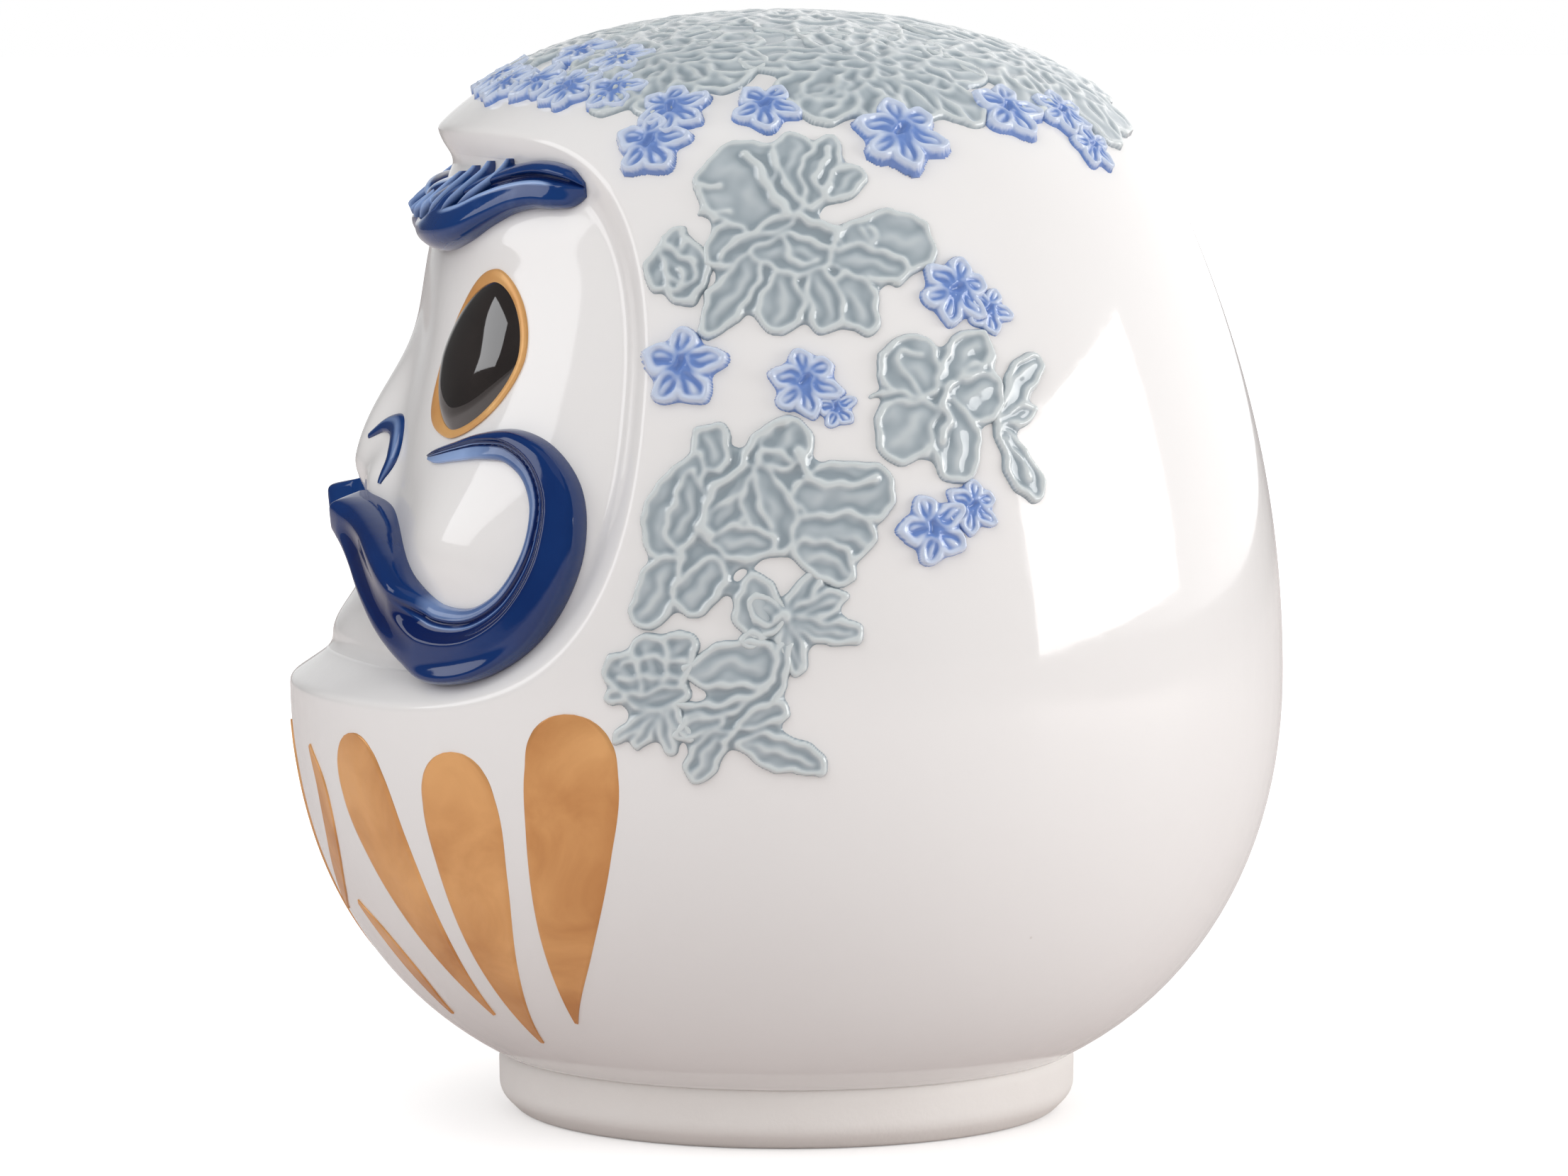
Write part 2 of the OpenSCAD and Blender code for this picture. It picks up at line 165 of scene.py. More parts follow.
def new_mesh(name, points, faces, sharp=None, **values):
    """A mesh object from points in millimetres, arrays of quads or triangles, and values a point."""
    mesh = bpy.data.meshes.new(name)
    faces = [np.asarray(f, np.int32) for f in faces if len(f)]
    corners = np.concatenate([f.ravel() for f in faces])
    sizes = np.concatenate([np.full(len(f), f.shape[1], np.int32) for f in faces])
    mesh.vertices.add(len(points))
    mesh.vertices.foreach_set("co", (np.asarray(points) * MM).astype(np.float32).ravel())
    mesh.loops.add(len(corners))
    mesh.loops.foreach_set("vertex_index", corners)
    mesh.polygons.add(len(sizes))
    mesh.polygons.foreach_set("loop_start", np.concatenate([[0], np.cumsum(sizes)[:-1]]).astype(np.int32))
    for key, value in values.items():
        layer = mesh.attributes.new(key, "FLOAT", "POINT")
        layer.data.foreach_set("value", np.asarray(value, np.float32).ravel())
    mesh.update(calc_edges=True)
    mesh.validate()
    if sharp:
        mesh.set_sharp_from_angle(angle=math.radians(sharp))
    return linked(name, mesh)


def rows_to_quads(n, m, closed=False):
    """Quads of an n by m grid of points, closed across when asked."""
    i, j = np.meshgrid(np.arange(n - 1), np.arange(m if closed else m - 1), indexing="ij")
    k = (j + 1) % m
    return np.stack([i * m + j, i * m + k, (i + 1) * m + k, (i + 1) * m + j], axis=-1).reshape(-1, 4)


def ring_to_ring(n, one, other):
    """Quads between two rings of n points."""
    here, after = np.arange(n), (np.arange(n) + 1) % n
    return np.stack([one * n + here, one * n + after, other * n + after, other * n + here], axis=-1)


def dress(piece, material, slot, *nodes):
    """Puts the material on, hangs the piece from the doll's root body, and hides the model's parts that it
    stands for.
    """
    piece.data.materials.clear()
    piece.data.materials.append(material)
    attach(piece, "root")
    if nodes:
        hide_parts(*nodes)
    return piece


def new_material(name, **values):
    """A material with its own shader, whose even values are set straight on its sockets."""
    material = bpy.data.materials.new(name)
    material.use_nodes = True
    shader = material.node_tree.nodes["Principled BSDF"]
    for key, value in values.items():
        shader.inputs[key.replace("_", " ")].default_value = value
    return material, material.node_tree, shader


def group_of(name, inputs, outputs):
    """An empty shader node group with its sockets, and its two end nodes."""
    tree = bpy.data.node_groups.new(name, "ShaderNodeTree")
    for label, kind, value in inputs:
        socket = tree.interface.new_socket(label, in_out="INPUT", socket_type="NodeSocket" + kind)
        socket.default_value = value
    for label, kind in outputs:
        tree.interface.new_socket(label, in_out="OUTPUT", socket_type="NodeSocket" + kind)
    return tree, tree.nodes.new("NodeGroupInput"), tree.nodes.new("NodeGroupOutput")


def add(tree, kind, links=None, **settings):
    """A node, a shader node by its short name, with links or values for its inputs."""
    node = tree.nodes.new(kind if "Node" in kind else "ShaderNode" + kind)
    for key, value in settings.items():
        setattr(node, key, value)
    for key, value in (links or {}).items():
        if isinstance(value, bpy.types.NodeSocket):
            tree.links.new(value, node.inputs[key])
        else:
            node.inputs[key].default_value = value
    return node


def noise(tree, scale, detail=3.0, **more):
    """Mottling that stays on the piece."""
    place = add(tree, "TexCoord")
    values = {"Vector": place.outputs["Object"], "Scale": scale, "Detail": detail, **more}
    return add(tree, "TexNoise", values).outputs[0]


def times_plus(tree, value, times, base):
    return add(tree, "Math", {0: value, 1: times, 2: base}, operation="MULTIPLY_ADD").outputs[0]


def between(tree, share, one, other):
    """A colour that goes from one to the other with a share."""
    one, other = (c if isinstance(c, bpy.types.NodeSocket) else (*c, 1) for c in (one, other))
    return add(tree, "Mix", {"Factor": share, 6: one, 7: other}, data_type="RGBA").outputs[2]


# What firing does to every glaze: the skin is never quite flat, and its gloss comes and goes
skin, skin_in, skin_out = group_of("fired_skin", [
    ("Ripple", "Float", 0.5), ("Ripple size", "Float", 60.0), ("Roughness", "Float", 0.07),
    ("Roughness spread", "Float", 0.04)], [("Normal", "Vector"), ("Roughness", "Float")])
broad = noise(skin, skin_in.outputs["Ripple size"], 2.0, Roughness=0.45)
both = times_plus(skin, noise(skin, 420.0), 0.12, broad)
dent = add(skin, "Bump", {"Strength": skin_in.outputs["Ripple"], "Distance": 0.0006, "Height": both})
spread = times_plus(skin, noise(skin, 35.0, 4.0), skin_in.outputs["Roughness spread"],
                    skin_in.outputs["Roughness"])
skin.links.new(dent.outputs[0], skin_out.inputs["Normal"])
skin.links.new(spread, skin_out.inputs["Roughness"])


def fired(tree, shader, ripple, size, roughness, spread_by):
    """Joins the fired skin to a material's own shader."""
    node = tree.nodes.new("ShaderNodeGroup")
    node.node_tree = skin
    for label, value in (("Ripple", ripple), ("Ripple size", size), ("Roughness", roughness),
                         ("Roughness spread", spread_by)):
        node.inputs[label].default_value = value
    tree.links.new(node.outputs["Normal"], shader.inputs["Normal"])
    tree.links.new(node.outputs["Roughness"], shader.inputs["Roughness"])


# White glaze over porcelain: a tint that wanders a little over the body, and a few iron specks
white_glaze, tree, shader = new_material("white_glaze", IOR=1.5, Coat_Weight=0.4, Coat_Roughness=0.02)
fired(tree, shader, 0.22, 38.0, 0.055, 0.05)
tint = between(tree, noise(tree, 16.0), (0.85, 0.835, 0.825), (0.885, 0.875, 0.868))
place = add(tree, "TexCoord")
speck = add(tree, "TexVoronoi", {"Vector": place.outputs["Object"], "Scale": 95.0})
dot = add(tree, "MapRange", {"Value": speck.outputs["Distance"], "From Min": 0.02, "From Max": 0.035,
                             "To Min": 0.25, "To Max": 0.0})
chosen = add(tree, "SeparateColor", {"Color": speck.outputs["Color"]})
rare = add(tree, "Math", {0: chosen.outputs[0], 1: 0.93}, operation="GREATER_THAN")
amount = add(tree, "Math", {0: dot.outputs[0], 1: rare.outputs[0]}, operation="MULTIPLY")
spotted = between(tree, amount.outputs[0], tint, (0.42, 0.36, 0.30))
tree.links.new(spotted, shader.inputs["Base Color"])

AROUND = 480                    # columns of points round the opening
turns = np.linspace(0, 2 * math.pi, AROUND, endpoint=False)
edge_deg, edge_dz = edge_of_opening(turns)


def flat_from(direction):
    """Directions laid flat from the bottom pole, so that the foot is a circle round the rest."""
    return direction[..., :2] / (1 + direction[..., 2:])


def direction_from(flat):
    square = np.sum(flat ** 2, axis=-1)[..., None]
    return np.concatenate([2 * flat, 1 - square], axis=-1) / (1 + square)


def towards(points):
    ray = points - (0, 0, HEART_Z)
    return ray / np.linalg.norm(ray, axis=-1)[..., None]


# Lines run over the body from the seam of the face to the foot, close together at the lip
seam_place = around(body_r(FACE_Z + SEAM * edge_dz), SEAM * edge_deg, FACE_Z + SEAM * edge_dz)
start = flat_from(towards(seam_place))
middle = flat_from(towards(around(body_r(FACE_Z), 0.0, FACE_Z)))
foot_reach = np.linalg.norm(flat_from(towards(around(FOOT_R + 0.6, 0.0, FOOT_H))))
way = (start - middle) / np.linalg.norm(start - middle, axis=1)[:, None]
half = np.sum(start * way, axis=1)
length = -half + np.sqrt(half ** 2 - np.sum(start ** 2, axis=1) + foot_reach ** 2)
FINE_STEPS = 700                # stations along each line before its rings are chosen
fine_share = np.linspace(0, 1, FINE_STEPS) ** 1.5
lines = start[None] + way[None] * (length[None] * fine_share[:, None])[..., None]
lines = on_body(direction_from(lines) * 50 + (0, 0, HEART_Z))
steps = np.linalg.norm(np.diff(lines, axis=0), axis=2)
gone = np.concatenate([np.zeros((1, AROUND)), np.cumsum(steps, axis=0)])
LIP_RINGS, FAR_RINGS, LIP_WIDE = 28, 104, 13.0
far = (np.arange(1, FAR_RINGS + 1) / FAR_RINGS) ** 1.25
stops = [LIP_WIDE * k / LIP_RINGS + 0 * gone[-1] for k in range(LIP_RINGS + 1)]
stops = np.array(stops + [LIP_WIDE + (gone[-1] - LIP_WIDE) * share for share in far])
body = np.empty((len(stops), AROUND, 3))
for k in range(AROUND):
    for axis in range(3):
        body[:, k, axis] = np.interp(stops[:, k], gone[:, k], lines[:, k, axis])
body = on_body(body)
body_deg = np.degrees(np.arctan2(body[..., 0], -body[..., 1]))
NEAR_FACE = 80                  # degrees from the front beyond which nothing is sunk
sunk = np.where(np.abs(body_deg) < NEAR_FACE, face_depth(body_deg, body[..., 2]), 0)
body = around(np.hypot(body[..., 0], body[..., 1]) - sunk, body_deg, body[..., 2])
inner_rows = [0, 6, 14, 28, 40, 52, 66, 80, 94, 108, 120, 128]
inward = towards(body[inner_rows])
inner = body[inner_rows] - inward * WALL
inner[..., 2] = np.maximum(inner[..., 2], FOOT_H + WALL)
foot_deg = body_deg[-1]
rim = [around(FOOT_R + 0.35, foot_deg, FOOT_H - 0.25), around(FOOT_R - 0.3, foot_deg, FOOT_H - 0.35),
       around(POUR_R + 0.4, foot_deg, FOOT_H), around(POUR_R + 0.4, foot_deg, FOOT_H + WALL)]
rings = np.concatenate([body, np.array(rim), inner[::-1]])
shell = new_mesh("cast_body", rings.reshape(-1, 3), [
    rows_to_quads(len(rings), AROUND, closed=True), ring_to_ring(AROUND, len(rings) - 1, 0)], sharp=50)
dress(shell, white_glaze, "white_glaze", "body_shell")

# ---------------------------------------------------------------------------------------------
# The face panel. A dished porcelain pressing with the nose, cheeks and chin, luted into the
# opening from inside and glazed over with the body, so that only a soft line shows.
# ---------------------------------------------------------------------------------------------
def on_face(deg, z, lift=0.0):
    """Points of the face, raised by lift straight out from the doll's axis."""
    return around(body_r(z) - face_depth(deg, z) + lift, deg, z)


def fan(n, ring, pole, flip=False):
    """Triangles from a ring of n points to its middle."""
    here, after = np.arange(n), (np.arange(n) + 1) % n
    made = np.stack([ring * n + here, ring * n + after, np.full(n, pole)], axis=-1)
    return made[:, ::-1] if flip else made


PANEL_RINGS = 84
shares = SEAM * np.linspace(1 / PANEL_RINGS, 1, PANEL_RINGS) ** 0.92
panel_deg = shares[:, None] * edge_deg[None]
panel_z = FACE_Z + shares[:, None] * edge_dz[None]
front = on_face(panel_deg, panel_z)
back_rows = np.arange(PANEL_RINGS - 1, -1, -7)
front_r = np.hypot(front[..., 0], front[..., 1])
back = around(front_r[back_rows] - WALL, panel_deg[back_rows], panel_z[back_rows])
rings = np.concatenate([front, back])
poles = np.array([on_face(0.0, FACE_Z), on_face(0.0, FACE_Z, -WALL)])
front_pole = len(rings) * AROUND
panel = new_mesh("face_panel", np.concatenate([rings.reshape(-1, 3), poles]), [
    rows_to_quads(len(rings), AROUND, closed=True)[:, ::-1], fan(AROUND, 0, front_pole),
    fan(AROUND, len(rings) - 1, front_pole + 1, flip=True)], sharp=50)
dress(panel, white_glaze, "white_glaze", "face_mask")

# ---------------------------------------------------------------------------------------------
# The foot. A turned ring of bare porcelain the doll stands on, and a disc pressed into the
# opening it was poured through. Both are unglazed, so they stay matt and a little warm.
# ---------------------------------------------------------------------------------------------
biscuit, tree, shader = new_material("biscuit", Roughness=0.62)
colour = between(tree, noise(tree, 45.0, 5.0), (0.85, 0.815, 0.785), (0.915, 0.895, 0.87))
tooth = add(tree, "Bump", {"Strength": 0.3, "Distance": 0.0002, "Height": noise(tree, 900.0)})
tree.links.new(colour, shader.inputs["Base Color"])
tree.links.new(tooth.outputs[0], shader.inputs["Normal"])


def made_by(tree, out_socket, thing, material, inputs):
    """Ends a geometry node tree with its material, runs it on the thing and keeps the plain mesh."""
    into = tree.nodes["Group Input"]
    paint = tree.interface.new_socket("Material", in_out="INPUT", socket_type="NodeSocketMaterial")
    real = add(tree, "GeometryNodeRealizeInstances", {0: out_socket})
    painted = add(tree, "GeometryNodeSetMaterial", {
        "Geometry": real.outputs[0], "Material": into.outputs["Material"]})
    tree.interface.new_socket("Made", in_out="OUTPUT", socket_type="NodeSocketGeometry")
    out = tree.nodes.new("NodeGroupOutput")
    tree.links.new(painted.outputs[0], out.inputs[0])
    step = thing.modifiers.new("made", "NODES")
    step.node_group = tree
    step[paint.identifier] = material
    for socket, value in inputs:
        step[socket.identifier] = value
    ready = thing.evaluated_get(bpy.context.evaluated_depsgraph_get())
    mesh = bpy.data.meshes.new_from_object(ready)
    thing.modifiers.remove(step)
    thing.data = mesh
    return thing


# One tree turns any closed outline of (radius, height) corners round the doll's axis
turning = bpy.data.node_groups.new("turning", "GeometryNodeTree")
turning.interface.new_socket("Outline", in_out="INPUT", socket_type="NodeSocketGeometry")
turning.interface.new_socket("Radius", in_out="INPUT", socket_type="NodeSocketFloat")
turning_in = turning.nodes.new("NodeGroupInput")
closed_line = add(turning, "GeometryNodeMeshToCurve", {"Mesh": turning_in.outputs["Outline"]})
wheel = add(turning, "GeometryNodeCurvePrimitiveCircle", {
    "Resolution": 256, "Radius": turning_in.outputs["Radius"]})
swept = add(turning, "GeometryNodeCurveToMesh", {
    "Curve": wheel.outputs[0], "Profile Curve": closed_line.outputs[0]})


def turned(name, corners, material):
    mid = sum(r for r, z in corners) / len(corners)
    mesh = bpy.data.meshes.new(name)
    mesh.from_pydata([((r - mid) * MM, -z * MM, 0) for r, z in corners],
                     [(k, (k + 1) % len(corners)) for k in range(len(corners))], [])
    thing = linked(name, mesh)
    tree = turning.copy()
    radius = tree.interface.items_tree["Radius"]
    made_by(tree, tree.nodes[swept.name].outputs[0], thing, material, [(radius, mid * MM)])
    thing.data.set_sharp_from_angle(angle=math.radians(50))
    return thing


def rounded(corners):
    """Corners (r, z, radius) of an outline with each one turned into a short arc."""
    made = []
    for k, (r, z, soft) in enumerate(corners):
        here = np.array((r, z))
        before = np.array(corners[k - 1][:2]) - here
        after = np.array(corners[(k + 1) % len(corners)][:2]) - here
        a = here + before / np.linalg.norm(before) * soft
        b = here + after / np.linalg.norm(after) * soft
        for t in np.linspace(0, 1, 7 if soft else 1):
            made.append(tuple((1 - t) ** 2 * a + 2 * t * (1 - t) * here + t * t * b))
    return made


ring = turned("foot_ring_turned", rounded([
    (43, 0, 0.8), (49.4, 0, 1.2), (FOOT_R - 0.1, 3.4, 1.8), (FOOT_R, FOOT_H - 1.6, 0.9),
    (FOOT_R - 0.7, FOOT_H - 0.1, 0.5), (42.0, FOOT_H - 0.1, 0.2), (42.0, 2.5, 1.0)]), biscuit)
dress(ring, biscuit, "biscuit", "foot_ring")

disc = turned("base_disc_pressed", rounded([
    (0.05, FOOT_H + 1.2, 0), (POUR_R - 3, FOOT_H + 1.2, 0.8), (POUR_R - 1.5, FOOT_H + 0.2, 0.6),
    (POUR_R - 0.1, FOOT_H + 0.2, 0.4), (POUR_R - 0.1, FOOT_H + WALL, 0.4),
    (0.05, FOOT_H + WALL, 0)]), biscuit)
dress(disc, biscuit, "biscuit", "base_disc")

# ---------------------------------------------------------------------------------------------
# Eyebrows, moustache and nostrils. Cobalt-glazed strips of clay laid on the face by hand, cut
# along their length with grooves. The glaze runs dark in the cuts and breaks pale on the edges;
# the moustache's steep inner side carries painted shade, and the crests a painted highlight.
# ---------------------------------------------------------------------------------------------
def smooth(rows, count):
    """Even stations on a smooth curve through the rows, with what each row carries."""
    rows = np.array(rows, float)
    at = np.concatenate([[0], np.cumsum(np.hypot(np.diff(rows[:, 0]) * 1.3, np.diff(rows[:, 1])))])
    slope = np.gradient(rows, at, axis=0)
    t = np.linspace(0, at[-1], count)
    k = np.clip(np.searchsorted(at, t, side="right") - 1, 0, len(at) - 2)
    wide = (at[k + 1] - at[k])[:, None]
    u = (t - at[k])[:, None] / wide
    return ((2 * u ** 3 - 3 * u ** 2 + 1) * rows[k] + (u ** 3 - 2 * u ** 2 + u) * wide * slope[k]
            + (3 * u ** 2 - 2 * u ** 3) * rows[k + 1] + (u ** 3 - u ** 2) * wide * slope[k + 1])


def strip(name, surface, path, section, count=160, points=41, under=1.2):
    """A strip along a path of (degrees, height, half width, rise), with a section across it."""
    rows = smooth(path, count)
    deg, z, half, rise = rows.T[:4]
    half = np.maximum(half, 0.05)
    radius = np.hypot(*surface(deg, z)[..., :2].T)
    run_x = np.gradient(np.radians(deg)) * radius
    run_z = np.gradient(z)
    speed = np.hypot(run_x, run_z)
    share = np.linspace(0, 1, count)[:, None]
    side = np.cos(np.linspace(math.pi, 0, points))[None]
    level, pool = section(side + 0 * share, share + 0 * side)
    side = np.concatenate([side, [[0.97, -0.97]]], axis=1)
    level = np.concatenate([level * rise[:, None], np.full((count, 2), -under)], axis=1)
    pool = np.concatenate([pool, np.zeros((count, 2))], axis=1)
    off_x = -(run_z / speed)[:, None] * side * half[:, None]
    off_z = (run_x / speed)[:, None] * side * half[:, None]
    place = surface(deg[:, None] + np.degrees(off_x / radius[:, None]), z[:, None] + off_z, level)
    n = points + 2
    ends = np.stack([np.arange(n)[::-1], (count - 1) * n + np.arange(n)])
    return new_mesh(name, place.reshape(-1, 3), [rows_to_quads(count, n, closed=True), ends], sharp=60,
                    pool=pool.ravel())


def window(share, start, stop, soft):
    return np.clip((share - start) / soft, 0, 1) * np.clip((stop - share) / soft, 0, 1)


def eased(x):
    x = np.clip(x, 0, 1)
    return x * x * (3 - 2 * x)


def moustache_section(side, share):
    """A flat ribbon, troughed below the nose, then stepping down to a narrow inner ribbon. Its colour is
    darker where the glaze pools in the trough and groove, darkened with painted shade on the steep inner
    side, and paler along the crest, where the glaze breaks pale under a painted highlight.
    """
    slab = np.clip(1 - np.abs(side) ** 6, 0, 1) ** 0.5
    trough = window(share, 0.06, 0.36, 0.08) * bell(side / 0.6)
    double = eased((share - 0.28) / 0.07)
    at = 0.06 - 0.75 * eased((share - 0.62) / 0.3)
    ledge = double * eased((side - at) / 0.38)
    groove = double * bell((side - at - 0.52) / 0.075)
    inner = double * eased((side - at - 0.55) / 0.12)
    level = slab * (0.3 + 0.7 * np.clip(share / 0.034, 0, 1))
    level = level * (1 - 0.17 * trough - 0.42 * ledge - 0.16 * groove - 0.1 * inner)
    # Painted shade: the steep inner side of the ribbon is darkened as if it lay in shadow.
    painted_cliff_shade = double * bell((side - at - 0.2) / 0.17)
    # Paler along the crest: the glaze breaking pale on the edge, with a painted highlight on top.
    crest = double * bell((side - at - 0.42) / 0.05)
    pool = 0.5 + 0.42 * trough + 0.5 * painted_cliff_shade + 0.4 * groove - 0.55 * crest - 0.27 * inner * (1 - groove)
    tip = eased((share - 0.8) / 0.12)
    return level, np.clip(pool - 0.2 * tip - 0.16 * np.clip(2 - share / 0.02, 0, 1), 0, 1)


def brow_section(side, share):
    """Smooth and round, split by one long cut outside, scored with short ones at the nose. Its crest is
    paler, where the glaze breaks pale under a painted highlight.
    """
    dome = np.clip(1 - np.abs(side) ** 3, 0, 1) ** 0.5
    outer = eased((share - 0.38) / 0.12)
    split = outer * bell((side - 0.36) / 0.15)
    # Paler along the crest: the glaze breaking pale there, with a painted highlight on top.
    crest = outer * bell((side - 0.12) / 0.08) * eased((0.93 - share) / 0.1)
    scored = eased((0.36 - share) / 0.14) * eased((side + 0.5) / 0.5)
    cuts = scored * (0.5 + 0.5 * np.cos(side * 9 - share * 26))
    level = dome * (1 - 0.4 * split + 0.06 * crest - 0.24 * cuts)
    return level, np.clip(0.34 + 0.5 * split - 0.6 * crest + 0.5 * cuts - 0.48 * scored * (1 - cuts), 0, 1)


def thread_section(side, share):
    """A round hair, broken pale along its top and darker where it meets the brow."""
    return np.sqrt(np.clip(1 - side ** 2, 0, 1)), 0.14 - 0.14 * share + 0.55 * np.abs(side) ** 3


def stroke_section(side, share):
    """A round stroke with one pale edge."""
    return np.sqrt(np.clip(1 - side ** 2, 0, 1)), 0.42 - 0.25 * bell((side - 0.5) / 0.35) + 0 * share


def mirrored(piece):
    """The same piece for the doll's right side."""
    mesh = piece.data.copy()
    points = np.empty(len(mesh.vertices) * 3, np.float32)
    mesh.vertices.foreach_get("co", points)
    points[::3] *= -1
    mesh.vertices.foreach_set("co", points)
    mesh.flip_normals()
    return linked(piece.name.replace("_left", "_right"), mesh)


def dress_both(piece, material, slot, *nodes):
    """Dresses a piece of the doll's left side, and its twin on the right."""
    twin = mirrored(piece)
    dress(piece, material, slot, *[node + "_left" for node in nodes])
    dress(twin, material, slot, *[node + "_right" for node in nodes])


def graded(tree, value, *stops):
    """Colours by their places along a value."""
    shade = add(tree, "ValToRGB", {"Fac": value})
    for k, (at, colour) in enumerate(stops):
        stop = shade.color_ramp.elements[k] if k < 2 else shade.color_ramp.elements.new(at)
        stop.position = at
        stop.color = (*colour, 1)
    return shade.outputs[0]


def pooled(tree, scale, share, *stops):
    """The colour of a glaze by how deep it lies, stirred in the firing. For the cobalt strips, the same value
    also holds painted shade and painted highlights.
    """
    depth = add(tree, "Attribute", attribute_name="pool")
    return graded(tree, times_plus(tree, noise(tree, scale, 4.0), share, depth.outputs["Fac"]), *stops)


cobalt, tree, shader = new_material("cobalt_glaze", Coat_Weight=0.35, Coat_Roughness=0.03)
fired(tree, shader, 0.35, 55.0, 0.05, 0.06)
colour = pooled(tree, 70.0, 0.34, (0.2, (0.30, 0.43, 0.72)), (0.5, (0.007, 0.042, 0.18)),
                (0.95, (0.001, 0.012, 0.09)))
tree.links.new(colour, shader.inputs["Base Color"])

moustache = strip("moustache_strip_left", on_face, [
    (9.5, 111.8, 3.4, 8.8), (15, 109.5, 4.3, 8.6), (21, 106.2, 5.1, 8), (28, 101, 6.1, 7.2),
    (34, 95.8, 6.7, 6.6), (40.5, 91.6, 6.8, 6), (47.5, 92.2, 6.4, 5.6), (52.3, 96.2, 6.2, 5.4),
    (55.8, 103, 6, 5.2), (57.4, 110.5, 5.8, 5), (56.8, 118, 5.2, 4.6), (53.6, 123.6, 4, 4),
    (49, 126.2, 3, 3.4), (44, 126, 2.4, 2.8), (38.5, 124.6, 1.8, 2.2), (33, 123.2, 1.2, 1.4),
    (30.5, 122.8, 0.5, 0.6)],
    moustache_section, count=300, points=71)
nostril = strip("nostril_stroke_left", on_face, [
    (4, 124.2, 0.6, 0.3), (8, 126.6, 1.5, 0.9), (12.6, 126, 2.3, 1.2), (14.8, 122, 2, 1.1),
    (13.8, 116.6, 0.5, 0.3)], stroke_section, count=60, points=17)
brow = strip("brow_strip_left", on_face, [
    (5, 166, 2.6, 2), (7.5, 165.8, 4.6, 3.6), (11, 165.6, 5.8, 4.6), (17, 165.2, 6.3, 5.2),
    (24, 165, 6.3, 5.2), (30, 166.3, 5.8, 5), (35, 168.6, 5.2, 4.8), (40, 170.4, 4.5, 4.6),
    (45, 171.2, 4.2, 4.4), (49.5, 170.9, 3.9, 4), (52.3, 170.6, 3.1, 3), (54.2, 170.5, 1.3, 1)],
    brow_section, count=200, points=61)
hairs = [strip(f"brow_hair_{k}_left", on_face, [
    (a, b, 0.4, 5.2), ((2 * a + c) / 3 + 0.6, (2 * b + d) / 3 - 0.6, 0.95, 5.9),
    ((a + 2 * c) / 3 + 0.7, (b + 2 * d) / 3 - 0.7, 0.85, 4.6), (c, d, 0.2, 1.6)],
    thread_section, count=50, points=17) for k, (a, b, c, d) in enumerate((
        (9, 164.6, 8.8, 169.8), (12.5, 164.2, 13, 171.2), (17, 164.4, 18.4, 172.6), (21.5, 165, 24, 173.8),
        (26, 165.8, 29.8, 174.8), (30.5, 167.4, 36, 175.4)))]
dress_both(moustache, cobalt, "cobalt_glaze", "moustache")
dress_both(nostril, cobalt, "cobalt_glaze", "nostril")
dress_both(brow, cobalt, "cobalt_glaze", "brow")
for hair in hairs:
    dress_both(hair, cobalt, "cobalt_glaze")

# ---------------------------------------------------------------------------------------------
# The eyes. Pointed domes under a near-black iron glaze, each in a lid of overglaze gold that
# was brushed on thick above and below and thin towards the nose.
# ---------------------------------------------------------------------------------------------
EYE_DEG, EYE_Z, EYE_HALF_X, EYE_HALF_Z = 37.5, 141.0, 11.8, 13.4
EYE_PER_DEG = math.radians(FACE_R)
EYE_POINTS, LID_ROWS = 144, 15


def eye_edge(turn, grow=0.0):
    """The eye's pointed outline, in millimetres from its middle, widened by grow."""
    c, s = np.cos(turn), np.sin(turn)
    reach = (np.abs(c / EYE_HALF_X) ** 1.7 + np.abs(s / EYE_HALF_Z) ** 1.7) ** (-1 / 1.7) + grow
    return reach * c + 0.15 * reach * s, reach * s


def on_eye(x, z, lift):
    return on_face(EYE_DEG + x / EYE_PER_DEG, EYE_Z + z, lift)


def closed_rings(name, rings):
    """Rings of points from an outer edge over to a middle point above and one below."""
    n = rings.shape[1]
    top, bottom = rings[-1].mean(axis=0), rings[0].mean(axis=0)
    pole = len(rings) * n
    return new_mesh(name, np.concatenate([rings.reshape(-1, 3), [top, bottom]]), [
        rows_to_quads(len(rings), n, closed=True), fan(n, len(rings) - 1, pole),
        fan(n, 0, pole + 1, flip=True)], sharp=60)


turn = np.linspace(0, 2 * math.pi, EYE_POINTS, endpoint=False)
x, z = eye_edge(turn)
rings = [on_eye(x, z, -1.2)]
for share in np.linspace(1, 0.02, 30):
    rings.append(on_eye(x * share, z * share, 3.3 * (1 - share ** 2.4) ** 0.8 + 0.1))
eyeball = closed_rings("eye_dome_left", np.array(rings))

thick = 1.05 + 0 * turn
for degrees, more, spread in ((230, 1.9, 0.42), (104, 1.3, 0.42), (168, -1.5, 0.62)):
    thick = thick + more * bell((turn - math.radians(degrees)) / spread)
rings = []
for share in np.linspace(0, 1, LID_ROWS):
    x, z = eye_edge(turn, grow=-0.9 + share * (thick + 0.9))
    rings.append(on_eye(x, z, 0.2 + 0.45 * math.sin(math.pi * share) ** 0.6 if 0 < share < 1 else -1.0))
lid = new_mesh("eye_lid_left", np.concatenate(rings), [
    rows_to_quads(LID_ROWS, EYE_POINTS, closed=True)[:, ::-1],
    ring_to_ring(EYE_POINTS, LID_ROWS - 1, 0)[:, ::-1]], sharp=60)

iron, tree, shader = new_material("iron_black_glaze", IOR=1.85, Coat_Weight=1.0, Coat_Roughness=0.02)
fired(tree, shader, 0.12, 60.0, 0.035, 0.03)
colour = between(tree, noise(tree, 130.0, 5.0), (0.010, 0.008, 0.008), (0.030, 0.023, 0.021))
tree.links.new(colour, shader.inputs["Base Color"])


